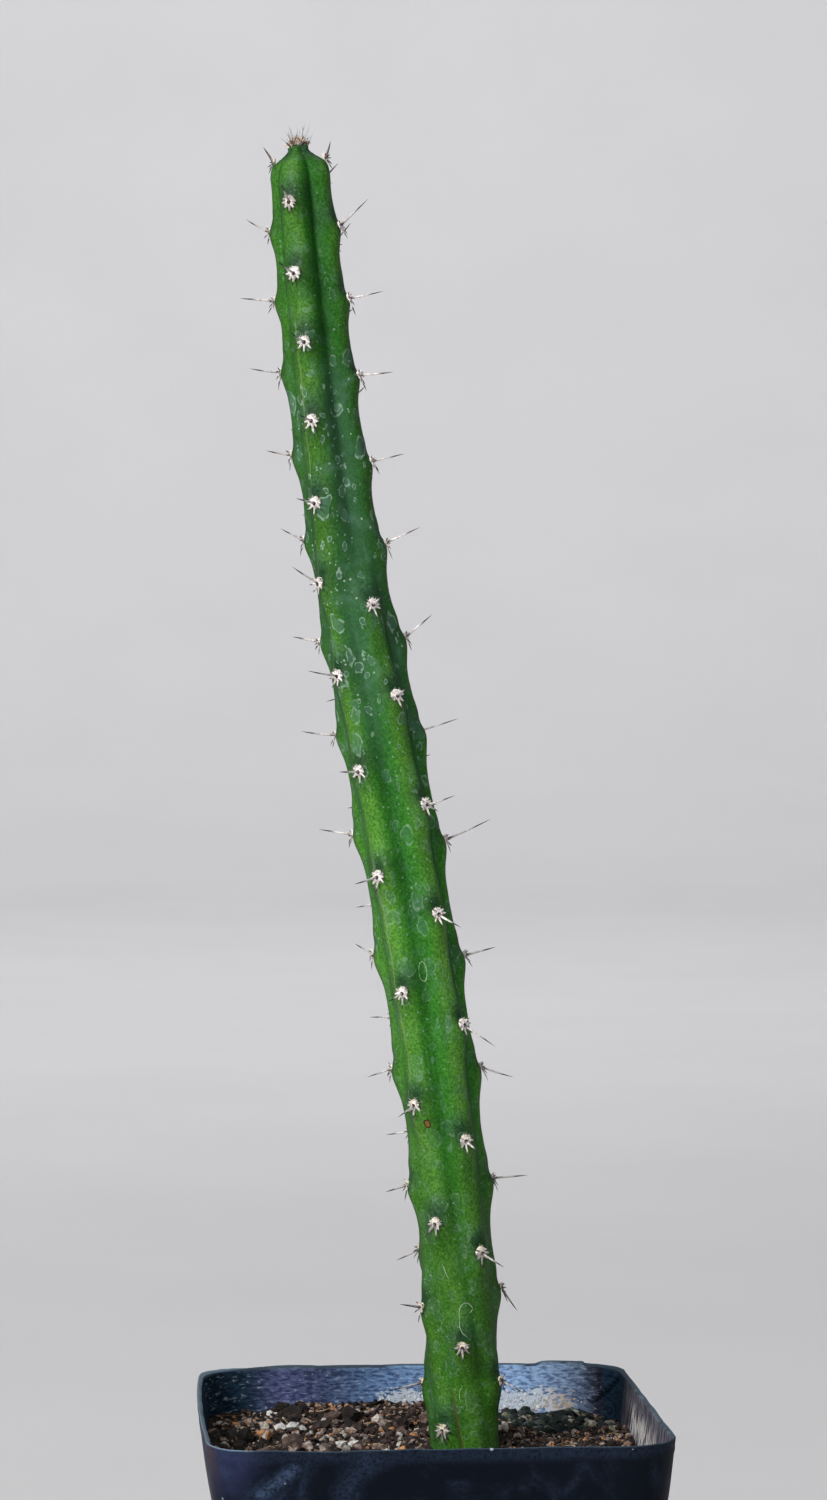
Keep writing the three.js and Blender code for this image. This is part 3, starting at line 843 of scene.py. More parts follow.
@dataclass(frozen=True)
class StemForm:
    """The stem's lean, girth, ribs, furrows and cushions, by the same rule as the frame's.

    Heights are above the potting mix, and turns are degrees to the right of the side that faces
    the viewer.
    """

    height: float = 289.0
    sway: float = 3.5
    lean_heights: Floats = (0, 40, 80, 120, 160, 200, 240, 289)
    leans: Floats = (0, 1.5, 5.6, 11.8, 18.8, 26.3, 32.0, 36.8)
    girth_heights: Floats = (0, 30, 60, 90, 120, 160, 200, 240, 270, 289)
    girths: Floats = (7.6, 7.8, 8.0, 8.4, 8.6, 8.5, 7.6, 7.4, 6.85, 6.0)
    tip_distances: Floats = (0, 0.25, 1.5, 3, 5, 8, 12)
    tip_shares: Floats = (0, 0.34, 0.42, 0.62, 0.88, 0.98, 1)
    rib_heights: Floats = (0, 30, 60, 125, 190, 225, 289)
    new_rib_top: float = 203.0
    new_rib_full: float = 180.0
    furrow_hollow: float = 0.07
    furrow_sharpness: float = 1.9
    furrow_deepest: float = 0.34
    furrow_heights: Floats = (0, 40, 75, 120, 250, 275, 289)
    furrow_shares: Floats = (0.15, 0.22, 0.55, 0.75, 0.82, 0.80, 0.35)
    shallow_turn: float = -62.0
    shallow_width: float = 24.0
    shallow_share: float = 0.6
    first_step: float = 14.7
    step_growth: float = 0.0547
    uneven: float = 0.12
    lowest_cushion: float = 5.0
    back_tilts: Pair = (35, -25)
    back_cushions: int = 13
    back_spine: float = 8.0
    spine_clearance: float = 4.0
    bump_at_tip: float = 1.1
    bump_at_foot: float = 1.5
    bump_width: float = 21.0
    bump_share: float = 0.23

    def middle(self, heights: Number) -> Array:
        """The stem's middle at each height, one a row."""
        heights = np.atleast_1d(np.asarray(heights, float))
        front, right = self.view_ways()
        share = np.clip(heights / self.height, 0, 1)
        lean = through(self.lean_heights, self.leans, heights)
        sway = self.sway * np.sin(np.pi * share) * smooth(3 * share)
        foot = np.stack([np.full_like(heights, STEM_FOOT[0]), np.full_like(heights, STEM_FOOT[1])])
        base = np.column_stack([*foot, SOIL_TOP + heights])
        return base - lean[:, None] * right + sway[:, None] * front

    @staticmethod
    def view_ways() -> tuple[Array, Array]:
        """The way to the viewer and the viewer's right, both level."""
        turn = math.radians(VIEW_TURN)
        front = np.array([-math.sin(turn), -math.cos(turn), 0.0])
        return front, np.cross(UP, front)

    def ways(self, heights: Number) -> tuple[Array, Array, Array]:
        """The stem's own direction at each height, and the two directions across it."""
        step = 0.5
        front, _ = self.view_ways()
        along = unit(self.middle(np.asarray(heights) + step) - self.middle(np.asarray(heights) - step))
        to_front = unit(front - (along @ front)[:, None] * along)
        return along, to_front, np.cross(along, to_front)

    def place(self, turns: Number, heights: Number, radii: Number) -> Array:
        """Points on the stem.

        Args:
            turns: The turn of each.
            heights: Its height.
            radii: Its distance from the stem's middle.

        Returns:
            The points, one a row.
        """
        turns = np.radians(np.atleast_1d(turns))[:, None]
        _, to_front, to_right = self.ways(heights)
        across = np.cos(turns) * to_front + np.sin(turns) * to_right
        return self.middle(heights) + across * np.reshape(radii, (-1, 1))

    def step_at(self, height: Number) -> Number:
        """The distance between cushions at a height."""
        return self.first_step + self.step_growth * (self.height - height)

    def height_after(self, steps: float) -> float:
        """The height at a count of cushion steps below the tip."""
        grown = (math.exp(steps * self.step_growth) - 1) / self.step_growth
        return self.height - grown * self.first_step

    def furrow_place(self, turns: Array, heights: Array, names: Sequence[str]) -> tuple[Array, Array]:
        """Where each place lies between two ribs.

        Args:
            turns: The turns of the places.
            heights: Their heights.
            names: The ribs that count.

        Returns:
            The share of the way from one rib to the next, and the turn between the two.
        """
        ribs = np.stack([through(self.rib_heights, RIBS[n].turns, heights) for n in names])
        before = ((turns - ribs) % 360).min(axis=0)
        to_next = (ribs - turns) % 360
        after = np.where(to_next < 1e-9, 360, to_next).min(axis=0)
        return before / (before + after), before + after

    def furrow(self, turns: Array, heights: Array) -> Array:
        """How far the skin is sunk between ribs.

        Args:
            turns: The turns of the places.
            heights: Their heights.

        Returns:
            The depth as a share of the radius, and the furrows' wave from 0 to 1.
        """
        found = []
        for names in (self.old_ribs(), list(RIBS)):
            share, spacing = self.furrow_place(turns, heights, names)
            chord = 1 - (1 - self.furrow_hollow) * np.cos(np.radians(spacing / 2))
            aside = turn_from(turns + (0.5 - share) * spacing, self.shallow_turn) / self.shallow_width
            full = 1 - self.shallow_share * np.exp(-(aside**2))
            wave = (1 - np.cos(2 * np.pi * share)) / 2
            depth = np.minimum(self.furrow_deepest, chord) * full * wave**self.furrow_sharpness
            found.append(np.stack([depth, wave * full]))
        return mix(*found, self.new_rib_share(heights))

    def new_rib_share(self, heights: Array) -> Array:
        """How far the rib that starts part of the way up is there."""
        return smooth((self.new_rib_top - heights) / (self.new_rib_top - self.new_rib_full))

    def old_ribs(self) -> list[str]:
        """The ribs that reach the tip."""
        return [name for name in RIBS if name != NEW_RIB]

    def radius(self, turns: Number, heights: Number) -> Array:
        """The stem's radius at turns and heights, without its fine form."""
        turns = np.atleast_1d(np.asarray(turns, float))
        heights = np.atleast_1d(np.asarray(heights, float))
        depth = self.furrow(turns, heights)[0] * through(self.furrow_heights, self.furrow_shares, heights)
        ribbed = through(self.girth_heights, self.girths, heights) * (1 - depth)
        left = through(self.tip_distances, self.tip_shares, self.height - heights)
        return (ribbed + self.swelling(turns, heights)) * left

    def swelling(self, turns: Array, heights: Array) -> Array:
        """The swellings of the skin under the cushions."""
        total = np.zeros_like(heights)
        for cushion in CUSHIONS:
            rise = (heights - cushion.height) / (self.bump_share * self.step_at(cushion.height))
            aside = turn_from(turns, cushion.turn) / self.bump_width
            bump = mix(self.bump_at_foot, self.bump_at_tip, cushion.height / self.height)
            total += np.where(np.abs(rise) > 3, 0, bump * np.exp(-(rise**2) - aside**2))
        return total

    def near_cushions(self, turns: Array, heights: Array, radii: Array, rise: float, size: float) -> Array:
        """A soft mask from 0 to 1 round each cushion.

        Args:
            turns: The turns of the places.
            heights: Their heights.
            radii: Their distances from the stem's middle.
            rise: How far above each cushion the mask's middle lies.
            size: Its radius.

        Returns:
            The mask at each place.
        """
        mask = np.zeros_like(heights)
        for cushion in CUSHIONS:
            aside = np.radians(turn_from(turns, cushion.turn)) * radii
            away = (heights - cushion.height - rise) ** 2 + aside**2
            mask = np.maximum(mask, np.exp(-away / size**2))
        return mask

    def cushions(self) -> list[Cushion]:
        """Every cushion of the stem, in the order and with the draws of the frame's own source."""
        draw = SeededDraws(7)
        found = []
        for rib in RIBS.values():
            for height, aside, tilt, length in self.rib_cushions(rib, draw):
                reach = min(1, max(0, (height - self.spine_clearance) / length))
                turn = float(through(self.rib_heights, rib.turns, height)) + aside
                lowest = -math.degrees(math.asin(reach))
                found.append(Cushion(height, turn, max(tilt, lowest), draw.spread(16), length))
        return found

    def rib_cushions(self, rib: Rib, draw: SeededDraws) -> list[tuple[float, float, float, float]]:
        """A rib's cushions, from the tip down.

        Args:
            rib: The rib.
            draw: The random draws, for a rib without cushions of its own.

        Returns:
            The height, the degrees aside of the rib, the tilt and the length of each.
        """
        if rib.heights:
            return list(zip(rib.heights, rib.aside or [0] * len(rib.heights), rib.tilts, rib.lengths))
        found = []
        while True:
            k = len(found)
            height = self.height_after(rib.phase + k + draw.spread(self.uneven))
            if height < self.lowest_cushion:
                return found
            aside = draw.spread(8)
            tilt = mix(*self.back_tilts, k / self.back_cushions) + draw.spread(24)
            found.append((height, aside, tilt, self.back_spine + draw.spread(3)))


FORM = StemForm()
CUSHIONS = FORM.cushions()


# Finishes of the stem


@dataclass(frozen=True)
class SkinFinish:
    """Waxy green skin: paler crests, grey bloom, lime rings and specks, with painted shade in the furrows,
    above the cushions and along the outline.
    """

    crest: Colour = rgb(0.046, 0.164, 0.016)
    flank: Colour = rgb(0.017, 0.116, 0.007)
    # Painted shade in the furrows, along the outline and in the notch above each cushion: the next three
    # colours.
    furrow_shade: Colour = rgb(0.008, 0.072, 0.009)
    rim: Colour = rgb(0.003, 0.040, 0.003)
    halo: Colour = rgb(0.003, 0.024, 0.008)
    bloom: Colour = rgb(0.078, 0.175, 0.120)
    lime: Colour = rgb(0.300, 0.440, 0.330)
    seam: Colour = rgb(0.200, 0.230, 0.100)
    crease: Colour = rgb(0.105, 0.066, 0.025)
    cork: Colour = rgb(0.200, 0.115, 0.030)
    cork_edge: Colour = rgb(0.030, 0.014, 0.006)
    dull: float = 0.48

    def material(self) -> Material:
        """The finish as a material."""
        material, shader, surface = new_material("cactus_skin")
        skin = shader.vector("straight")
        mottle = shader.noise(skin, 150.0, 4.0)
        streak = shader.noise(shader.stretched(skin, (1.0, 1.0, 0.12)), 420.0, 3.0)
        pores = shader.noise(skin, 1900.0, 2.0)
        colour = self.green(shader, mottle, streak, pores)
        weather = shader.value("weather")
        patches = shader.effect(CLOUDS, Vector=skin, Scale=230.0, Low=0.50, High=0.74, Warp=0.6)
        bloom = shader.both(patches.outputs["Mask"], weather)
        dusty = shader.both(shader.value("bloom"), shader.step(pores, 0.38, 0.62), 0.75)
        bloom = shader.either(bloom, dusty)
        colour = shader.mix(shader.both(bloom, 0.46), colour, self.bloom)
        damp = shader.both(shader.value("furrow"), shader.step(weather, 0.5, 1.0), 0.32)
        colour = shader.mix(damp, colour, self.bloom)
        taller = shader.stretched(skin, (1.0, 1.0, 0.72))
        ring = 0.0
        for scale, share in ((270.0, 0.55), (520.0, 0.30)):
            rings = shader.effect(
                MINERAL_RINGS, Vector=taller, Scale=scale, Radius=0.36, Width=0.06, Share=share, Warp=0.9
            )
            film = shader.both(rings.outputs["Film"], weather, 0.42)
            colour = shader.mix(film, colour, self.bloom)
            ring = shader.either(ring, shader.both(rings.outputs["Ring"], weather))
        colour = shader.mix(shader.both(ring, 0.55), colour, self.lime)
        specks = shader.effect(SPECKS, Vector=skin, Scale=1100.0, Size=0.32, Share=0.2)
        speck = shader.both(specks.outputs["Mask"], shader.math("ADD", weather, 0.25))
        colour = shader.mix(shader.both(speck, 0.6), colour, self.lime)
        seam = shader.both(self.line(shader, "seam_away", 0.28), shader.step(streak, 0.40, 0.62))
        colour = shader.mix(shader.both(seam, shader.value("seam"), 0.6), colour, self.seam)
        crease = shader.both(self.line(shader, "furrow_away", 0.30), shader.value("crease"))
        colour = shader.mix(shader.both(crease, 0.8), colour, self.crease)
        spot = shader.value("spot")
        cork = shader.ramp(spot, [(0.35, self.cork_edge), (0.85, self.cork)])
        colour = shader.mix(shader.step(spot, 0.08, 0.25), colour, cork)
        # Painted shade: the skin darkens towards its outline, where it turns away from the view.
        slant = shader.add("ShaderNodeLayerWeight", {"Blend": 0.4}).outputs["Facing"]
        colour = shader.mix(shader.step(slant, 0.25, 0.9, (0.0, 0.75)), colour, self.rim)
        pale = shader.either(bloom, shader.either(ring, speck))
        dull = shader.math("ADD", self.dull, shader.both(pale, 0.25))
        dull = shader.math("ADD", dull, shader.both(mottle, 0.14))
        normal = shader.bump(pores, 0.00005)
        normal = shader.bump(mottle, 0.00035, normal)
        normal = shader.bump(shader.either(ring, speck), 0.00006, normal)
        shader.feed(surface, {"Base Color": colour, "Roughness": dull, "Normal": normal})
        shader.feed(surface, {"Specular IOR Level": 0.15})
        return material

    def green(self, shader: Shader, mottle: Socket, streak: Socket, pores: Socket) -> Socket:
        """The living green: pale along the crests, with painted shade deep in the furrows and round the
        cushions.

        Args:
            shader: The material's tree.
            mottle: Soft noise.
            streak: Noise drawn out along the stem.
            pores: Fine noise.

        Returns:
            The colour.
        """
        wave = shader.value("furrow")
        crest = shader.step(shader.math("ADD", wave, shader.both(mottle, 0.3)), 0.1, 0.7, (1.0, 0.0))
        colour = shader.mix(crest, self.flank, self.crest)
        # Painted shade: a darker green deep in the furrows.
        furrow = shader.step(shader.math("ADD", wave, shader.both(streak, 0.3)), 0.55, 1.2)
        colour = shader.mix(shader.both(furrow, 0.9), colour, self.furrow_shade)
        uneven = shader.ramp(mottle, [(0.3, rgb(0.62, 0.76, 0.66)), (0.7, rgb(1.25, 1.08, 1.1))])
        colour = shader.mix(0.8, colour, uneven, Blend.MULTIPLY)
        ages = [(0.0, rgb(0.78, 0.84, 0.76)), (1.0, rgb(1.48, 1.42, 1.46))]
        colour = shader.mix(1.0, colour, shader.ramp(shader.value("fresh"), ages), Blend.MULTIPLY)
        streaks = shader.ramp(streak, [(0.3, rgb(0.72, 0.82, 0.76)), (0.7, rgb(1.25, 1.12, 1.12))])
        colour = shader.mix(0.7, colour, streaks, Blend.MULTIPLY)
        speckle = shader.ramp(pores, [(0.38, rgb(0.60, 0.70, 0.62)), (0.64, rgb(1.60, 1.35, 1.75))])
        colour = shader.mix(0.9, colour, speckle, Blend.MULTIPLY)
        # Painted shade in the notch just above each cushion.
        return shader.mix(shader.both(shader.value("halo"), 0.92), colour, self.halo)

    @staticmethod
    def line(shader: Shader, name: str, width: float) -> Socket:
        """A thin line where a distance that the mesh keeps is zero, half a width to each side."""
        away = shader.math("ABSOLUTE", shader.value(name))
        return shader.step(away, width / 3, width, (1.0, 0.0))


@dataclass(frozen=True)
class LimeFinish:
    """Chalky lime, from tan through bluish white to the pale green of scars on the skin."""

    stops: Stops = (
        (0.0, rgb(0.42, 0.32, 0.23)),
        (0.4, rgb(0.38, 0.43, 0.50)),
        (0.7, rgb(0.66, 0.70, 0.74)),
        (1.0, rgb(0.46, 0.58, 0.42)),
    )

    def material(self) -> Material:
        """The finish as a material."""
        material, shader, surface = new_material("lime")
        grain = shader.noise(shader.place(), 2500.0, 3.0)
        colour = shader.ramp(shader.value("tone"), self.stops)
        shades = shader.ramp(grain, [(0.3, rgb(0.6, 0.6, 0.6)), (0.6, rgb(1.1, 1.1, 1.1))])
        colour = shader.mix(0.8, colour, shades, Blend.MULTIPLY)
        normal = shader.bump(grain, 0.00012)
        shader.feed(surface, {"Base Color": colour, "Roughness": 0.95, "Normal": normal})
        return material


@dataclass(frozen=True)
class WoolFinish:
    """Cream wool with a brown heart round the long spine."""

    wool: Colour = rgb(0.95, 0.91, 0.88)
    shade: Colour = rgb(0.62, 0.54, 0.50)
    heart: Colour = rgb(0.020, 0.014, 0.014)
    young: Colour = rgb(0.60, 0.40, 0.26)
    old: Colour = rgb(0.62, 0.52, 0.30)

    def material(self) -> Material:
        """The finish as a material."""
        material, shader, surface = new_material("areole_wool")
        fluff = shader.noise(shader.place(), 2600.0, 3.0)
        colour = shader.ramp(fluff, [(0.34, self.shade), (0.52, self.wool)])
        colour = shader.mix(shader.both(shader.value("age"), 0.6), colour, self.old)
        tinted = shader.mix(shader.value("youth"), colour, self.young)
        colour = shader.mix(shader.step(shader.value("heart"), 0.45, 0.85), tinted, self.heart)
        normal = shader.bump(fluff, 0.00025)
        shader.feed(surface, {"Base Color": colour, "Roughness": 0.95, "Normal": normal})
        shader.feed(surface, {"Sheen Weight": 0.3})
        return material


@dataclass(frozen=True)
class SpineFinish:
    """Pale horn with dark ends, darker on young spines."""

    base: Colour = rgb(0.040, 0.026, 0.026)
    pale: Colour = rgb(0.95, 0.91, 0.88)
    grey: Colour = rgb(0.25, 0.23, 0.24)
    tip: Colour = rgb(0.014, 0.010, 0.010)
    young: Colour = rgb(0.075, 0.052, 0.048)

    def material(self) -> Material:
        """The finish as a material."""
        material, shader, surface = new_material("spine_horn")
        shaft = shader.mix(shader.value("tone"), self.pale, self.grey)
        fibre = shader.noise(shader.place(), 1500.0, 3.0)
        lines = shader.ramp(fibre, [(0.38, rgb(0.50, 0.46, 0.45)), (0.58, rgb(1.06, 1.05, 1.05))])
        shaft = shader.mix(0.8, shaft, lines, Blend.MULTIPLY)
        along = shader.value("along")
        foot = shader.both(shader.step(along, 0.06, 0.22, (1.0, 0.0)), shader.value("dark_foot"))
        colour = shader.mix(foot, shaft, self.base)
        colour = shader.mix(shader.value("youth"), colour, self.young)
        ends = shader.step(shader.math("ADD", along, shader.both(fibre, 0.14)), 0.54, 0.78)
        colour = shader.mix(ends, colour, self.tip)
        dull = shader.step(fibre, 0.2, 0.8, (0.38, 0.62))
        normal = shader.bump(fibre, 0.00004)
        shader.feed(surface, {"Base Color": colour, "Roughness": dull, "Normal": normal})
        return material


# The stem


@dataclass(frozen=True)
class Seat:
    """A cushion's seat on the skin: its place, the ways round it, its wool's radius and its age."""

    SIDE_LOSS = 0.4
    SIDE_FROM = 45.0
    SIDE_SPAN = 30.0
    YOUNG_FROM = 262.0
    YOUNG_SPAN = 24.0
    OLD_BELOW = 120.0

    cushion: Cushion
    place: Array
    outward: Array
    sideways: Array
    along: Array
    radius: float
    youth: float
    age: float

    @classmethod
    def of(cls, cushion: Cushion, at_tip: float, at_foot: float) -> "Seat":
        """The seat of a cushion.

        Args:
            cushion: The cushion.
            at_tip: The wool's radius at the stem's tip.
            at_foot: The same at its foot.

        Returns:
            The seat, with less wool on the stem's sides than on its front.
        """
        height = cushion.height
        place = FORM.place(cushion.turn, height, FORM.radius(cushion.turn, height))[0]
        along, to_front, to_right = (way[0] for way in FORM.ways(np.array([height])))
        turn = math.radians(cushion.turn)
        outward = math.cos(turn) * to_front + math.sin(turn) * to_right
        to_side = float(smooth((abs(cushion.turn) - cls.SIDE_FROM) / cls.SIDE_SPAN))
        radius = mix(at_foot, at_tip, height / FORM.height) * (1 - cls.SIDE_LOSS * to_side)
        youth = float(smooth((height - cls.YOUNG_FROM) / cls.YOUNG_SPAN))
        age = 1 - float(smooth(height / cls.OLD_BELOW))
        return cls(cushion, place, outward, np.cross(along, outward), along, radius, youth, age)


@dataclass
class Stem:
    """The ribbed stem with its skin, wool cushions, spines and growing tip.

    A notch or a swell is its depth, how far above a cushion it lies, and its radius. A painted
    cushion shade or a bloom is the last two, and the crown's taper is its share, its height and its reach.
    """

    around: int = 216
    cuts: tuple[int, int] = (20, 20)
    buried_rings: int = 10
    tip_rings: int = 46
    tip_crowding: float = 1.6
    plug_depth: float = 38.0
    plug_radius: float = 7.4
    plug_end_radius: float = 6.6
    plug_top: float = -1.5
    tip_zone: float = 12.0
    unevenness: float = 0.18
    lump_size: float = 9.0
    crease_heights: Floats = (0, 14, 35, 250, 272, 289)
    crease_depths: Floats = (0.30, 0.22, 0.05, 0.05, 0.30, 0.15)
    crease_width: float = 0.55
    crown_taper: Triple = (0.13, 286.5, 3.5)
    crown_drop: float = 0.8
    crown_from: float = 283.0
    notch: Triple = (0.55, 1.9, 1.9)
    swell: Triple = (0.25, -2.6, 3.2)
    seam_aside: float = 1.6
    weathered: Floats = (0.45, 0.28, 0.45, 0.6, 1.0, 1.0, 0.3, 0.08)
    weather_heights: Floats = (0, 45, 110, 150, 175, 232, 250, 289)
    freshness: Floats = (0.42, 0.28, 1.0, 1.0, 0.19, 0.0, 0.35, 0.36)
    fresh_heights: Floats = (0, 45, 95, 135, 175, 225, 255, 289)
    # Where the painted shade above each cushion lies, and its size.
    halo: Pair = (1.9, 3.0)
    bloom: Pair = (4.6, 2.1)
    line_reach: float = 3.0
    no_line: float = 9.0
    spot_turn: float = -23.0
    spot_height: float = 74.5
    spot_size: Pair = (0.75, 0.9)
    scars: tuple[tuple[Pair, ...], ...] = (
        ((-25, 43), (-22, 42), (-20, 41), (-15, 39.5)),
        ((-1, 30.5), (-2, 32), (2, 33.5), (11, 34), (20, 33), (19, 32), (9, 31.5)),
        ((-1, 30.5), (-2, 29), (2, 27.5), (9, 26.5)),
        ((0, 15.5), (-5, 14.5), (-6, 13.5), (-5, 12.5), (0, 12)),
        ((-4, 107), (0, 109), (7, 109), (10, 107), (5, 105), (-2, 105.5), (-4, 107)),
    )
    scar_radius: float = 0.075
    wool_at_tip: float = 1.25
    wool_at_foot: float = 1.1
    wool_thickness: float = 0.6
    wool_rise: float = 0.12
    hairs: int = 70
    hair_radius: float = 0.05
    hair_lengths: Pair = (0.4, 0.85)
    long_radius: float = 0.25
    short_radius: float = 0.22
    short_spines: tuple[Pair, ...] = (
        (0, 3.8), (42, 2.9), (-44, 2.8), (82, 2.3), (-84, 2.4), (118, 1.9), (-122, 2.0),
    )
    tuft_spread: float = 1.9
    tuft_spines: int = 9
    tuft_bristles: int = 30
    tuft_flecks: int = 260

    def build(self) -> None:
        """Makes every piece of the stem."""
        seats = [Seat.of(cushion, self.wool_at_tip, self.wool_at_foot) for cushion in CUSHIONS]
        wool = WoolFinish().material()
        horn = SpineFinish().material()
        dress(self.skin(), SkinFinish().material(), Slot.CACTUS_SKIN, Node.STEM)
        dress(self.lime_scars(), LimeFinish().material(), Slot.CACTUS_SKIN)
        dress(self.wool_cushions(seats), wool, Slot.CACTUS_SKIN)
        dress(self.wool_hairs(seats), wool, Slot.CACTUS_SKIN)
        dress(self.long_spines(seats), horn, Slot.CACTUS_SKIN)
        dress(self.fan_spines(seats), horn, Slot.CACTUS_SKIN)
        dress(self.tip_spines(), horn, Slot.CACTUS_SKIN)
        dress(self.tip_wool(), wool, Slot.CACTUS_SKIN)

    def levels(self) -> Array:
        """The heights of the skin's rings, from the buried end to the tip."""
        count = (self.cuts[0] + 1) * (self.cuts[1] + 1) + 1
        buried = np.linspace(-self.plug_depth, self.plug_top, self.buried_rings)
        shares = np.linspace(1, 0, self.tip_rings + 1)[1:]
        tip = FORM.height - self.tip_zone * shares**self.tip_crowding
        body_rings = count - self.buried_rings - self.tip_rings
        body = np.linspace(0, FORM.height - self.tip_zone, body_rings)
        return np.concatenate([buried, body, tip])

    def skin(self) -> Piece:
        """The ribbed skin, closed at its buried end and at its tip."""
        deselect_all()
        bpy.ops.mesh.primitive_cylinder_add(
            vertices=self.around, radius=1, depth=1, end_fill_type="TRIFAN", location=(0, 0, 0.5)
        )
        piece = named("stem_skin")
        with editing(piece, "EDGE"):
            for cuts in self.cuts:
                select_edges(piece, is_upright)
                bpy.ops.mesh.subdivide(number_cuts=cuts)
        start = points_of(piece)
        levels = self.levels()
        heights = levels[np.rint(start[:, 2] * (len(levels) - 1)).astype(int)]
        turns = np.degrees(np.arctan2(start[:, 0], -start[:, 1]))
        radii = self.fine_radius(turns, heights)
        buried = mix(self.plug_end_radius, self.plug_radius, heights / self.plug_depth + 1)
        radii = np.where(heights > self.plug_top, radii, buried)
        radii[np.hypot(start[:, 0], start[:, 1]) < 0.5] = 0
        at_crown = (heights - self.crown_from) / (FORM.height - self.crown_from)
        sunk = self.crown_drop * smooth(at_crown)
        move_points(piece, FORM.place(turns, heights - sunk, radii) * MM)
        self.store_skin_values(piece, turns, heights, radii)
        close_and_face_out(piece)
        shade(piece, 180)
        return piece

    def fine_radius(self, turns: Number, heights: Number) -> Array:
        """The radius with creases in the furrows, a notch and a swell at cushions, and uneven skin.

        Args:
            turns: The turns of the places.
            heights: Their heights.

        Returns:
            The radius at each place.
        """
        turns = np.atleast_1d(np.asarray(turns, float))
        heights = np.atleast_1d(np.asarray(heights, float))
        radii = FORM.radius(turns, heights)
        away = self.furrow_away(turns, heights, radii)
        depth = through(self.crease_heights, self.crease_depths, heights)
        depth = depth * mix(self.at_front(turns), 1.0, smooth((heights - 20) / 30))
        crease = depth * bell(away, self.crease_width) * smooth(radii / 5)
        taper, taper_height, taper_reach = self.crown_taper
        radii = radii * (1 - taper * bell(heights - taper_height, taper_reach))
        fade = smooth((FORM.height - heights) / self.tip_zone) * smooth(heights / 6)
        notch, notch_rise, notch_size = self.notch
        swell, swell_rise, swell_size = self.swell
        hollow = notch * FORM.near_cushions(turns, heights, radii, notch_rise, notch_size)
        hollow = hollow - swell * FORM.near_cushions(turns, heights, radii, swell_rise, swell_size)
        lumps = rough(FORM.place(turns, heights, radii), self.lump_size) * self.unevenness
        return radii - crease - fade * hollow + lumps * smooth(radii / 3)

    @staticmethod
    def at_front(turns: Array) -> Array:
        """One on the front of the stem and zero round the sides, where the foot has no creases."""
        return smooth((32 - np.abs(turn_from(turns, 3))) / 12)

    @staticmethod
    def furrow_away(turns: Array, heights: Array, radii: Array) -> Array:
        """The distance along the skin to the nearest furrow's bottom.

        Args:
            turns: The turns of the places.
            heights: Their heights.
            radii: Their distances from the stem's middle.

        Returns:
            The distance at each place, below zero on one side of the bottom.
        """
        share, spacing = FORM.furrow_place(turns, heights, list(RIBS))
        old_share, old_spacing = FORM.furrow_place(turns, heights, FORM.old_ribs())
        new = FORM.new_rib_share(heights) > 0.5
        share = np.where(new, share, old_share)
        return (share - 0.5) * np.radians(np.where(new, spacing, old_spacing)) * radii

    def store_skin_values(self, piece: Piece, turns: Array, heights: Array, radii: Array) -> None:
        """Keeps what the skin's finish reads: furrows, painted cushion shade, weathering and straight
        places.

        Args:
            piece: The skin.
            turns: The turn of each vertex.
            heights: Its height.
            radii: Its distance from the stem's middle.
        """
        away = self.furrow_away(turns, heights, radii)
        _, wave = FORM.furrow(turns, heights)
        front_rib = through(FORM.rib_heights, RIBS["front_left"].turns, heights)
        turned_back = np.radians(turn_from(turns, front_rib))
        straight = [radii * np.sin(turned_back), -radii * np.cos(turned_back), heights]
        seam_away = turned_back * radii + self.seam_aside
        aside = np.radians(turn_from(turns, self.spot_turn)) * radii / self.spot_size[0]
        above = (heights - self.spot_height) / self.spot_size[1]
        store_vectors(piece, "straight", np.column_stack(straight) * MM)
        store(
            piece,
            furrow=wave * through(FORM.furrow_heights, FORM.furrow_shares, heights),
            furrow_away=np.where(np.abs(away) < self.line_reach, away, self.no_line),
            crease=smooth((18 - heights) / 8) * self.at_front(turns),
            seam_away=np.where(np.abs(seam_away) < self.line_reach, seam_away, self.no_line),
            seam=smooth((heights - 60) / 25) * smooth((262 - heights) / 30),
            # The painted shade above each cushion.
            halo=FORM.near_cushions(turns, heights, radii, *self.halo),
            bloom=FORM.near_cushions(turns, heights, radii, *self.bloom),
            weather=through(self.weather_heights, self.weathered, heights),
            fresh=through(self.fresh_heights, self.freshness, heights),
            spot=smooth(np.exp(-(above**2) - aside**2) * 1.6 - 0.4),
        )

    def lime_scars(self) -> Piece:
        """Thin pale scars that curl over the skin."""
        shape = needle_shape(4, 23, lambda z: 0.35 + 0.65 * np.sin(np.pi * np.clip(z, 0.05, 0.95)))
        heap = Heap()
        for scar in self.scars:
            turns, heights = np.array(scar, float).T
            path = FORM.place(turns, heights, self.fine_radius(turns, heights))
            heap.add(shape, threaded(shape, path, self.scar_radius), tone=1.0)
        return heap.piece("lime_scars", 60)

    @staticmethod
    def dome_shape() -> Shape:
        """A lumpy dome of wool, one unit in radius, with its flat side closed."""
        deselect_all()
        bpy.ops.mesh.primitive_uv_sphere_add(segments=18, ring_count=12, radius=1)
        made = named("wool_dome")
        with editing(made):
            bpy.ops.mesh.select_all(action="SELECT")
            bpy.ops.mesh.bisect(
                plane_co=(0, 0, -0.45), plane_no=(0, 0, -1), clear_outer=True, use_fill=True
            )
        points = points_of(made)
        lumps = 1 + 0.22 * rough(points, 0.5, 2)
        move_points(made, points * lumps[:, None])
        return Shape.taken_from(made)

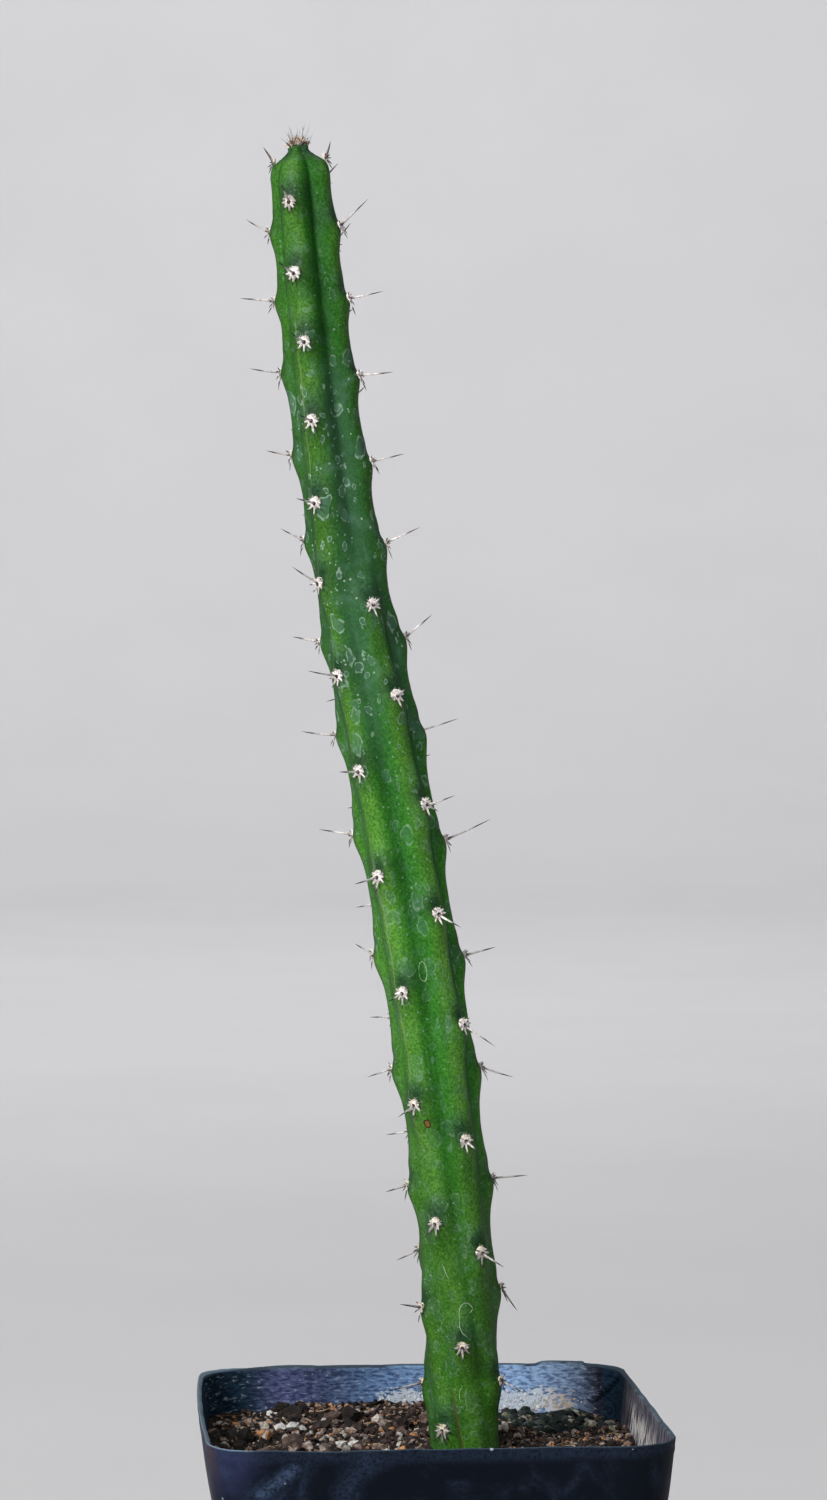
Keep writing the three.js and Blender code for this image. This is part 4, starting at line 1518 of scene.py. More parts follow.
    def wool_cushions(self, seats: list[Seat]) -> Piece:
        """The wool cushions' bodies, each a hood over the dark heart that the spines leave."""
        shape = self.dome_shape()
        draw = SeededDraws(51)
        heap = Heap()
        for seat in seats:
            radius = seat.radius * draw.between(0.9, 1.1)
            size = np.array([radius, radius, self.wool_thickness * min(1.0, seat.radius)])
            lying = turned(shape.points * size, seat.outward + 0.2 * seat.along, draw.turn())
            points = seat.place + seat.along * self.wool_rise + lying
            middle = seat.place + seat.outward * self.wool_thickness - seat.along * 0.2
            heart = np.exp(-((np.linalg.norm(points - middle, axis=1) / 0.62) ** 4))
            heap.add(shape, points, heart=heart, youth=seat.youth * 0.4, age=seat.age)
        return heap.piece("wool_cushions", 180)

    def wool_hairs(self, seats: list[Seat]) -> Piece:
        """Fine curled hairs that stand out of the wool."""
        shape = needle_shape(3, 2, lambda z: 1 - 0.7 * z)
        draw = SeededDraws(52)
        heap = Heap()
        for seat in seats:
            for _ in range(self.hairs):
                turn = draw.turn()
                away = math.sqrt(draw.between(0.3, 1))
                across = math.cos(turn) * seat.sideways + math.sin(turn) * seat.along
                rise = math.sqrt(1 - 0.85 * away**2) * self.wool_thickness * 0.8
                root = seat.place + across * away * seat.radius * 0.9 + seat.outward * rise
                root = root + seat.along * self.wool_rise
                way = seat.outward * draw.between(0.1, 0.8) + across * away + 0.7 * draw.level_way()
                length = draw.between(*self.hair_lengths)
                bow = draw.spread(1.4)
                points = laid(shape, root, way, length, self.hair_radius, seat.outward, bow)
                heap.add(shape, points, heart=0.0, youth=seat.youth * draw() * 0.5, age=seat.age)
        return heap.piece("wool_hairs")

    def long_spines(self, seats: list[Seat]) -> Piece:
        """The long spine of each cushion, slightly bowed, with a thick foot."""
        shape = needle_shape(8, 9, lambda z: 1.0 + 0.4 * bell(z, 0.08) - 0.95 * z**2.2)
        draw = SeededDraws(53)
        heap = Heap()
        for seat in seats:
            swing = math.radians(seat.cushion.swing)
            tilt = math.radians(seat.cushion.tilt)
            level = math.cos(swing) * seat.outward + math.sin(swing) * seat.sideways
            bow = draw.between(-0.02, 0.09)
            way = math.cos(tilt) * level + math.sin(tilt) * seat.along - bow * seat.along * 0.6
            root = seat.place + seat.outward * self.wool_thickness * 0.25 - seat.along * 0.15
            radius = self.long_radius * draw.between(0.88, 1.1)
            points = laid(shape, root, way, seat.cushion.length + 0.2, radius, seat.along, bow)
            tone = min(1.0, draw() * 0.6 + 0.7 * seat.age**2)
            values = {"along": shape.points[:, 2], "tone": tone, "youth": seat.youth, "dark_foot": 1.0}
            heap.add(shape, points, **values)
        return heap.piece("long_spines", 60)

    def fan_spines(self, seats: list[Seat]) -> Piece:
        """The short spines that fan out round each cushion, longest downwards."""
        shape = needle_shape(5, 5, lambda z: 1.0 + 0.5 * bell(z, 0.3) - 0.92 * z**2.2)
        draw = SeededDraws(54)
        heap = Heap()
        for seat in seats:
            fullness = min(1.0, seat.radius)
            along = shape.points[:, 2] * (2 - fullness)
            for degrees, length in self.short_spines:
                turn = math.radians(degrees + draw.spread(18))
                across = -math.cos(turn) * seat.along + math.sin(turn) * seat.sideways
                rise = math.radians(draw.between(10, 30) + 14 * seat.youth)
                way = math.cos(rise) * across + math.sin(rise) * seat.outward
                root = seat.place + across * seat.radius * 0.55 + seat.outward * 0.2
                size = (length - 0.4) * draw.between(0.8, 1.15) * (1 - 0.2 * seat.youth)
                radius = self.short_radius * fullness * draw.between(0.85, 1.15)
                points = laid(shape, root, way, size, radius, seat.outward, draw.between(-0.1, 0.05))
                tone = min(1.0, draw() * 0.5 + 0.6 * seat.age)
                youth = seat.youth * draw.between(0.3, 1.0)
                heap.add(shape, points, along=along, tone=tone, youth=youth, dark_foot=0.0)
        return heap.piece("fan_spines", 60)

    def tip_roots(self, count: int, draw: SeededDraws) -> Iterator[tuple[Array, Array]]:
        """Places on the growing tip.

        Args:
            count: How many there are.
            draw: The random draws.

        Yields:
            Each place, and the way that things there grow.
        """
        golden_turn = math.radians(137.5)
        middle = FORM.middle(FORM.height)[0]
        along, to_front, to_right = (way[0] for way in FORM.ways(np.array([FORM.height])))
        for i in range(count):
            away = math.sqrt((i + 0.5) / count)
            turn = i * golden_turn + draw.spread(0.8)
            across = math.cos(turn) * to_front + math.sin(turn) * to_right
            root = middle + across * away * self.tuft_spread - along * (1.2 * away**2 + 0.2)
            yield root, along + across * (away * 0.7 + draw.spread(0.7)) + 0.25 * draw.level_way()

    def tip_spines(self) -> Piece:
        """Thin young spines and bristles crowded on the growing tip."""
        shape = needle_shape(5, 4, lambda z: 1.0 - 0.9 * z**1.5)
        draw = SeededDraws(55)
        heap = Heap()
        for root, way in self.tip_roots(self.tuft_spines, draw):
            points = laid(shape, root, way, draw.between(1.4, 2.8), 0.11, way + UP, draw.spread(0.2))
            values = {"along": shape.points[:, 2], "tone": draw(), "youth": draw(), "dark_foot": 0.5}
            heap.add(shape, points, **values)
        for root, way in self.tip_roots(self.tuft_bristles, draw):
            length = mix(1.4, 5.0, draw() ** 1.3)
            points = laid(shape, root, way, length, 0.075, way + UP, draw.spread(0.5))
            values = {"along": shape.points[:, 2], "tone": draw() * 0.5, "youth": mix(0.4, 1, draw())}
            heap.add(shape, points, dark_foot=0.0, **values)
        return heap.piece("tip_spines", 60)

    def tip_wool(self) -> Piece:
        """Cream, pink and brown flecks of wool on the growing tip."""
        shape = needle_shape(4, 3, lambda z: 0.5 + np.sin(np.pi * z) * 0.8)
        draw = SeededDraws(56)
        heap = Heap()
        for root, way in self.tip_roots(self.tuft_flecks, draw):
            length = draw.between(0.5, 1.5)
            lying = way * draw() + draw.level_way()
            root = root + UP * draw.between(-0.2, 0.5)
            points = laid(shape, root, lying, length, draw.between(0.06, 0.2), way, 0.4)
            heap.add(shape, points, heart=draw() ** 1.2, youth=draw(), age=draw() * 0.4)
        return heap.piece("tip_wool", 60)


# The pot


@dataclass(frozen=True)
class PlasticFinish:
    """Worn black plastic: dusty and earthy outside, with painted light on its left, sides and rim; inside, a
    chalky film with painted sheen and corner shade, flecks and lime.
    """

    body: Colour = rgb(0.0018, 0.0042, 0.0095)
    # Painted light: a paler violet on the outside's left, where the light comes from.
    painted_left_light: Colour = rgb(0.014, 0.018, 0.050)
    dust: Colour = rgb(0.042, 0.068, 0.130)
    earth_and_edge_light: Colour = rgb(0.050, 0.028, 0.022)
    # Brown on the outer side walls: partly earth smears, partly a painted edge light.
    side: Colour = rgb(0.095, 0.092, 0.115)
    lime: Colour = rgb(0.500, 0.560, 0.640)
    tan: Colour = rgb(0.460, 0.360, 0.270)
    # Painted highlight along the rim's top edge.
    edge: Colour = rgb(0.240, 0.360, 0.440)
    # The inner back wall from left to right: the chalky film, with painted shade in both corners and a
    # painted sheen across its bright blue middle.
    film: Stops = (
        (0.12, rgb(0.010, 0.026, 0.048)),
        (0.20, rgb(0.070, 0.084, 0.190)),
        (0.31, rgb(0.052, 0.074, 0.155)),
        (0.44, rgb(0.115, 0.205, 0.390)),
        (0.70, rgb(0.260, 0.420, 0.710)),
        (0.86, rgb(0.180, 0.265, 0.430)),
        (0.94, rgb(0.020, 0.018, 0.030)),
    )
    dull: float = 0.55

    def material(self) -> Material:
        """The finish as a material."""
        material, shader, surface = new_material("pot_plastic")
        place = shader.place()
        inside = shader.value("inside")
        strokes = shader.noise(shader.stretched(place, (1.0, 1.0, 3.0)), 620.0, 3.0, 0.4)
        broad = shader.noise(place, 55.0, 3.0)
        fine = shader.noise(place, 1500.0, 3.0)
        outer = self.outer(shader, place, broad, fine)
        colour = shader.mix(inside, outer, self.inner(shader, place, strokes))
        blotch = shader.noise(place, 480.0, 4.0, 0.6)
        level = shader.math("ADD", shader.both(strokes, 0.4), shader.both(blotch, 0.6))
        level = shader.math("ADD", level, shader.both(shader.value("crust"), 0.36))
        lime = shader.both(inside, shader.step(level, 0.72, 0.80))
        chalk = shader.mix(shader.value("tan"), self.lime, self.tan)
        colour = shader.mix(shader.both(lime, 0.85), colour, chalk)
        # Painted highlight along the rim's top edge.
        colour = shader.mix(shader.both(shader.value("rim"), 0.75), colour, self.edge)
        dull = shader.math("ADD", self.dull, shader.both(shader.either(lime, inside), 0.3))
        dull = shader.math("ADD", dull, shader.both(fine, 0.1))
        normal = shader.bump(shader.either(lime, shader.both(inside, strokes)), 0.00015)
        normal = shader.bump(broad, 0.0008, normal)
        normal = shader.bump(fine, 0.00006, normal)
        shader.feed(surface, {"Base Color": colour, "Roughness": dull, "Normal": normal})
        shader.feed(surface, {"Specular IOR Level": 0.08})
        return material

    def outer(self, shader: Shader, place: Socket, broad: Socket, fine: Socket) -> Socket:
        """The outside: painted light on the left, dust clouds, white specks, and earth and painted edge
        light on the sides.

        Args:
            shader: The material's tree.
            place: The place on the pot.
            broad: Noise with lumps the size of a thumb.
            fine: Fine noise.

        Returns:
            The colour.
        """
        # Painted light on the left of the outside, in violet patches.
        left = shader.step(shader.axis(0), -0.035, -0.044)
        painted_left_light = shader.both(left, shader.step(broad, 0.30, 0.55))
        colour = shader.mix(painted_left_light, self.body, self.painted_left_light)
        film = shader.effect(CLOUDS, Vector=place, Scale=70.0, Low=0.46, High=0.72, Warp=1.2)
        grains = shader.step(fine, 0.20, 0.66)
        under_rim = shader.both(shader.step(shader.axis(2), 0.0862, 0.0885), 0.22)
        dusty = shader.either(shader.both(film.outputs["Mask"], 0.38), shader.value("cloud"))
        dusty = shader.both(shader.either(dusty, under_rim), grains)
        colour = shader.mix(dusty, colour, self.dust)
        specks = shader.effect(SPECKS, Vector=place, Scale=300.0, Size=0.13, Share=0.2)
        colour = shader.mix(shader.both(specks.outputs["Mask"], 0.7), colour, self.lime)
        # Brown smears on the side walls: partly earth, partly a painted edge light.
        smears = shader.both(shader.step(broad, 0.36, 0.62), shader.step(shader.axis(2), 0.02, 0.085))
        return shader.mix(shader.both(shader.value("side"), smears, 0.65), colour, self.earth_and_edge_light)

    def inner(self, shader: Shader, place: Socket, strokes: Socket) -> Socket:
        """The inside: a flecked blue film at the back, with a painted sheen in its middle and painted shade
        in its corners, and a grey, streaked wall on the right.

        Args:
            shader: The material's tree.
            place: The place on the pot.
            strokes: Noise in short level strokes.

        Returns:
            The colour.
        """
        # The back wall's film, with painted shade in its corners and a painted sheen in its middle.
        across = shader.math("ADD", shader.math("MULTIPLY", shader.axis(0), 10.0), 0.5)
        back = shader.value("back")
        colour = shader.mix(back, self.film[0][1], shader.ramp(across, self.film))
        flecks = shader.ramp(strokes, [(0.40, rgb(0.34, 0.34, 0.40)), (0.54, rgb(1.15, 1.15, 1.12))])
        colour = shader.mix(0.85, colour, flecks, Blend.MULTIPLY)
        pale = shader.both(back, shader.step(strokes, 0.60, 0.70))
        colour = shader.mix(shader.both(pale, 0.35), colour, self.lime)
        right = shader.value("right")
        streaks = shader.noise(shader.stretched(place, (1.0, 1.0, 0.2)), 800.0, 3.0)
        colour = shader.mix(shader.both(right, 0.85), colour, self.side)
        worn = shader.ramp(streaks, [(0.38, rgb(0.38, 0.36, 0.38)), (0.62, rgb(1.45, 1.4, 1.4))])
        colour = shader.mix(right, colour, worn, Blend.MULTIPLY)
        streak = shader.both(shader.value("streaked"), shader.step(streaks, 0.42, 0.58))
        return shader.mix(shader.both(streak, 0.8), colour, shader.mix(strokes, self.tan, self.lime))


@dataclass
class Pot:
    """The thin-walled square nursery pot.

    The ridge and the bulge of its walls are each a depth, a height and a reach. The rim's waves
    are each a height, a size and how many finer layers it has.
    """

    height: float = 90.0
    foot_half: float = 36.0
    top_half: float = 48.4
    wall: float = 1.0
    side_bow: float = 0.7
    corner_share: float = 0.24
    lip_out: float = 1.1
    lip_foot: float = 64.0
    ridge: Triple = (0.12, 87.2, 0.5)
    bulge: Triple = (1.1, 73.0, 12.0)
    corner_pull: float = 1.7
    foot_chamfer: float = 0.8
    foot_ring: float = 5.0
    foot_recess: float = 1.5
    drain_radius: float = 4.0
    drain_spread: float = 20.0
    outline_points: int = 320
    flat_share: float = 2 / 7
    dent_depth: float = 0.5
    dent_size: float = 26.0
    fold_depth: float = 0.7
    fold_width: float = 0.55
    fold_top: Pair = (6.0, 87.7)
    fold_foot: Pair = (-2.6, 82.0)
    waves: tuple[tuple[float, float, int], ...] = ((0.42, 17.0, 2), (0.10, 2.2, 1))
    frayed: Pair = (29.5, 41.5)
    nick: Pair = (-47.5, 38.0)
    cloud_top: Pair = (-31.0, 86.0)
    cloud_foot: Pair = (-38.0, 80.5)
    cloud_width: float = 1.3
    tan_from: float = 31.0
    flakes: int = 620
    flake_spin: float = 6.28

    def build(self) -> None:
        """Makes every piece of the pot."""
        wall = self.wall_piece()
        dress(wall, PlasticFinish().material(), Slot.POT_PLASTIC, Node.POT)
        dress(self.lime_crust(wall), LimeFinish().material(), Slot.POT_PLASTIC)

    def outline(self, turns: Array, half: Array, bow: Array) -> Array:
        """Points of squares with round corners and slightly bowed sides.

        Args:
            turns: How far round each point is, from 0 to 1.
            half: Half the width of its square.
            bow: How far the middle of each side stands out.

        Returns:
            The points' X and Y, one a row.
        """
        quarter = np.floor(turns * 4)
        share = turns * 4 - quarter
        radius = half * self.corner_share
        flat = half - radius
        low = flat * share / self.flat_share
        high = flat * (1 - share) / self.flat_share
        arc = np.clip((share - self.flat_share) / (1 - 2 * self.flat_share), 0, 1) * np.pi / 2
        first, last = share < self.flat_share, share > 1 - self.flat_share
        x = np.where(first, half + bow * (1 - share**2 / self.flat_share**2), flat + radius * np.cos(arc))
        y = np.where(first, low, flat + radius * np.sin(arc))
        y = np.where(last, half + bow * (1 - (1 - share) ** 2 / self.flat_share**2), y)
        x = np.where(last, high, x)
        c, s = np.cos(quarter * np.pi / 2), np.sin(quarter * np.pi / 2)
        x, y = x * c - y * s, x * s + y * c
        pulled = smooth(x / half * 2 - 1) * smooth(-y / half) * smooth((half - self.foot_half) / 12)
        return np.column_stack([x + self.corner_pull * pulled, y])

    def outer_half(self, z: Number) -> Number:
        """Half the outer width of the wall at a height, with its flare, its ridge and its bulge."""
        flare = self.lip_out * smooth((z - self.lip_foot) / (self.height - self.lip_foot))
        half = mix(self.foot_half, self.top_half, z / self.height) + flare
        for size, height, reach in (self.ridge, self.bulge):
            half = half + size * bell(z - height, reach)
        return half

    def profile(self) -> list[Pair]:
        """The outer skin's profile from the recessed floor to the rim: half widths and heights."""
        top = self.height - 0.3
        low = [*np.linspace(self.foot_chamfer, 62, 16), *np.linspace(64, 78, 8)]
        heights = [*low, *np.linspace(78.6, top, 20)]
        return [
            (self.foot_half - self.foot_ring, 0),
            (self.foot_half - self.foot_chamfer, 0),
            *[(float(self.outer_half(z)), z) for z in heights],
            (float(self.outer_half(top)) - 0.2, self.height),
        ]

    def wall_piece(self) -> Piece:
        """The whole pot: floor, foot ring, walls and lip, as one closed shell with drain holes."""
        start = self.foot_half - self.foot_ring
        deselect_all()
        bpy.ops.mesh.primitive_circle_add(
            vertices=self.outline_points,
            radius=start * MM,
            fill_type="NGON",
            location=(0, 0, self.foot_recess * MM),
        )
        piece = named("pot_wall")
        with editing(piece, "EDGE"):
            select_edges(piece, lambda edge: True)
            extrude_rings((start, self.foot_recess), self.profile())
        self.face_outer_skin_out(piece)
        self.make_square(piece)
        solidify = piece.modifiers.new("wall", "SOLIDIFY")
        solidify.thickness = self.wall * MM
        solidify.offset = -1
        solidify.use_even_offset = True
        apply_modifiers(piece)
        self.drill(piece)
        self.store_wall_values(piece)
        shade(piece, 35)
        return piece

    @staticmethod
    def face_outer_skin_out(piece: Piece) -> None:
        """Turns the open outer skin's faces away from the pot's inside."""
        with editing(piece, "FACE"):
            bpy.ops.mesh.select_all(action="SELECT")
            bpy.ops.mesh.normals_make_consistent(inside=False)
        floor = max(piece.data.polygons, key=lambda face: face.area)
        if floor.normal.z > 0:
            with editing(piece, "FACE"):
                bpy.ops.mesh.select_all(action="SELECT")
                bpy.ops.mesh.flip_normals()

    def make_square(self, piece: Piece) -> None:
        """Turns the round skin into the pot's square outline, and wears it."""
        points = points_of(piece) / MM
        half = np.hypot(points[:, 0], points[:, 1])
        turns = np.arctan2(points[:, 1], points[:, 0]) / (2 * np.pi)
        turns = np.rint(turns * self.outline_points) % self.outline_points / self.outline_points
        z = points[:, 2]
        bow = self.side_bow * smooth(z / self.height) * half / self.top_half
        points[:, :2] = self.outline(turns, half, bow)
        self.wear(points)
        move_points(piece, points * MM)

    def wear(self, points: Array) -> None:
        """Dents the walls, folds the back right corner, and waves, nicks and frays the rim, in place."""
        x, y, z = points.T.copy()
        inward = -points[:, :2] / np.maximum(np.abs(points[:, :2]).max(axis=1, keepdims=True), 1)
        dent = self.dent_depth * smooth((z - 20) / 60) * (0.5 + 0.5 * rough(points, self.dent_size, 2))
        fold = self.near_line((x - y) * 0.73, z, self.fold_top, self.fold_foot, self.fold_width)
        points[:, :2] += inward * (dent + self.fold_depth * fold * (x + y > 70))[:, None]
        level = np.column_stack([x, y, np.zeros(len(points))])
        wave = sum(height * rough(level, size, layers) for height, size, layers in self.waves)
        points[:, 2] += wave * smooth((z - 80) / 10)
        frayed = (y > 40) * smooth((x - self.frayed[0]) / 0.8) * smooth((self.frayed[1] - x) / 0.8)
        nick = np.exp(-((x - self.nick[0]) ** 2 + (y - self.nick[1]) ** 2) / 1.4)
        points[:, 2] += (0.5 * frayed - 0.8 * nick) * smooth((z - 88) / 1.5)

    @staticmethod
    def near_line(x: Array, z: Array, start: Pair, end: Pair, width: float) -> Array:
        """A soft mask from 0 to 1 along a straight line between two places.

        Args:
            x: How far across the places are.
            z: Their heights.
            start: The line's start, as the same two numbers.
            end: Its end.
            width: How far to each side it fades.

        Returns:
            The mask at each place.
        """
        way = np.subtract(end, start)
        share = np.clip(((x - start[0]) * way[0] + (z - start[1]) * way[1]) / (way @ way), 0, 1)
        away = np.hypot(x - start[0] - share * way[0], z - start[1] - share * way[1])
        return bell(away, width)

    def drill(self, piece: Piece) -> None:
        """Cuts the drain holes through the floor."""
        sides = (-self.drain_spread, self.drain_spread)
        for x, y in [(0, 0)] + [(x, y) for x in sides for y in sides]:
            deselect_all()
            bpy.ops.mesh.primitive_cylinder_add(
                vertices=32,
                radius=self.drain_radius * MM,
                depth=8 * MM,
                location=(x * MM, y * MM, self.foot_recess * MM),
            )
            drill = named("drill")
            cut = piece.modifiers.new("drain", "BOOLEAN")
            cut.operation = "DIFFERENCE"
            cut.object = drill
            apply_modifiers(piece)
            bpy.data.objects.remove(drill)

    def store_wall_values(self, piece: Piece) -> None:
        """Keeps what the plastic's finish reads: its sides, the lime crust, the dust and the rim's painted
        highlight.
        """
        points = points_of(piece) / MM
        x, y, z = points.T
        normals = self.normals_of(piece)
        outward = (normals[:, :2] * points[:, :2]).sum(axis=1)
        inside = smooth(0.5 - outward * 0.05) * (z > 4)
        back = inside * smooth((y - 34) / 5) * smooth((46 - x) / 3)
        right = inside * smooth((x - 42) / 3) * smooth((34 - y) / 8)
        patches = smooth(1.3 - np.abs(x + 1.5) / 8) + smooth(1.3 - np.abs(x - 27) / 13)
        crust = back * (0.22 * smooth((x + 36) / 10) + 0.85 * bell(z - 81.4, 3.2) * patches)
        cloud = self.near_line(x, z, self.cloud_top, self.cloud_foot, self.cloud_width)
        # Where the painted highlight along the rim falls, strongest on the left.
        rim = smooth((z - (self.height - 0.9)) / 0.6) * smooth(0.9 - outward * 0.02)
        store(
            piece,
            inside=inside,
            back=back,
            right=right,
            streaked=right * smooth((24 - y) / 8) * smooth((y + 26) / 10) * smooth((87.5 - z) / 4),
            crust=np.clip(crust, 0, 1),
            tan=smooth((x - self.tan_from) / 6),
            cloud=cloud * (y < 0) * (1 - inside),
            side=(1 - inside) * smooth((np.abs(normals[:, 0]) - 0.75) / 0.2),
            rim=rim * mix(0.25, 1.0, smooth((-x - 38) / 6)),
        )

    @staticmethod
    def normals_of(piece: Piece) -> Array:
        """The normals of a mesh's vertices, one a row."""
        normals = np.empty(len(piece.data.vertices) * 3)
        piece.data.vertex_normals.foreach_get("vector", normals)
        return normals.reshape(-1, 3)

    def lime_crust(self, wall: Piece) -> Piece:
        """Small flat flakes of lime that cling to the inner back wall, mostly just over the mix."""
        shapes = [PottingMix.lump_shape(seed + 80, 1, 0.5) for seed in range(3)]
        points = points_of(wall) / MM
        normals = self.normals_of(wall)
        x, y, z = points.T
        drawn_at = np.flatnonzero((y > 40) & (normals[:, 1] < -0.7) & (z > 79.5) & (x > -34) & (x < 41))
        draw = SeededDraws(71)
        heap = Heap()
        while len(heap.points) < self.flakes:
            i = drawn_at[int(draw() * len(drawn_at))]
            patch = max(bell(x[i] + 1.5, 5), bell(x[i] - 28, 8))
            likely = 0.008 + patch * bell(z[i] - 80.5, 2.4)
            if draw() > likely:
                continue
            size = mix(0.1, 0.55, draw() ** 2.5 * min(1, likely * 4))
            shape = shapes[int(draw() * 3)]
            stretch = size * np.array([1.0, draw.between(0.5, 1.0), 0.3])
            lying = turned(shape.points * stretch, normals[i], draw() * self.flake_spin)
            shift = np.array([draw.spread(1.2), 0.0, draw.spread(0.6)])
            is_white = x[i] < self.tan_from + draw.spread(6)
            white = draw.between(0.35, 0.7) if is_white else draw() * 0.25
            heap.add(shape, points[i] + shift + lying, tone=white)
        return heap.piece("lime_crust", 30)


# The potting mix


class MixTint(Enum):
    """The colours that the loose pieces of the mix come in, as stops along their tone."""

    BARK = (
        (0.0, rgb(0.010, 0.008, 0.007)),
        (0.25, rgb(0.034, 0.024, 0.024)),
        (0.45, rgb(0.080, 0.052, 0.042)),
        (0.62, rgb(0.170, 0.125, 0.110)),
        (0.78, rgb(0.360, 0.330, 0.310)),
        (0.88, rgb(0.140, 0.072, 0.042)),
        (1.0, rgb(0.420, 0.200, 0.080)),
    )
    PEAT = (
        (0.0, rgb(0.005, 0.004, 0.004)),
        (0.5, rgb(0.024, 0.015, 0.011)),
        (0.85, rgb(0.065, 0.040, 0.028)),
        (1.0, rgb(0.190, 0.130, 0.080)),
    )
    GRIT = (
        (0.0, rgb(0.120, 0.120, 0.125)),
        (0.5, rgb(0.400, 0.350, 0.300)),
        (1.0, rgb(0.520, 0.530, 0.540)),
    )
    FIBRE = (
        (0.0, rgb(0.090, 0.045, 0.022)),
        (0.6, rgb(0.250, 0.150, 0.080)),
        (1.0, rgb(0.600, 0.500, 0.360)),
    )
    MOSS = (
        (0.0, rgb(0.004, 0.008, 0.009)),
        (0.5, rgb(0.018, 0.030, 0.030)),
        (0.75, rgb(0.060, 0.080, 0.080)),
        (0.85, rgb(0.060, 0.070, 0.022)),
        (1.0, rgb(0.300, 0.290, 0.250)),
    )


@dataclass(frozen=True)
class MixFinish:
    """A rough, dry, crumbly surface, coloured by each piece's own tone."""

    tint: MixTint
    name: str = "mix_bed"
    grain: float = 1500.0
    relief: float = 0.0003
    dull: float = 0.92

    def material(self) -> Material:
        """The finish as a material."""
        material, shader, surface = new_material(self.name)
        place = shader.place()
        grain = shader.noise(place, self.grain, 4.0)
        lumps = shader.noise(place, self.grain * 0.3, 2.0)
        tone = shader.math("ADD", shader.value("tone"), shader.step(lumps, 0.2, 0.8, (-0.22, 0.22)))
        colour = shader.ramp(tone, self.tint.value)
        shades = shader.ramp(grain, [(0.3, rgb(0.45, 0.43, 0.42)), (0.65, rgb(1.3, 1.28, 1.25))])
        colour = shader.mix(0.85, colour, shades, Blend.MULTIPLY)
        normal = shader.bump(grain, self.relief)
        shader.feed(surface, {"Base Color": colour, "Roughness": self.dull, "Normal": normal})
        shader.feed(surface, {"Specular IOR Level": 0.25})
        return material


@dataclass(frozen=True)
class Scatter:
    """How one kind of loose piece lies about on the mix. Sizes in millimetres.

    A piece is as long as its size. Small ones are commoner by the power, and so are low tones.
    The area is the lowest and highest X and Y, and marks are single pieces at a place of their
    own, each with its X, Y, size and tone.
    """

    name: str
    tint: MixTint
    count: int
    seed: int
    sizes: Pair
    power: float = 2.0
    flat: Pair = (0.55, 0.95)
    lean: float = 0.7
    rise: float = 0.35
    tones: Triple = (0.0, 1.0, 1.3)
    area: tuple[float, float, float, float] = (-47.0, 47.0, -47.0, 47.0)
    marks: tuple[tuple[float, float, float, float], ...] = ()
    grain: float = 1500.0
    crispness: float = 25.0


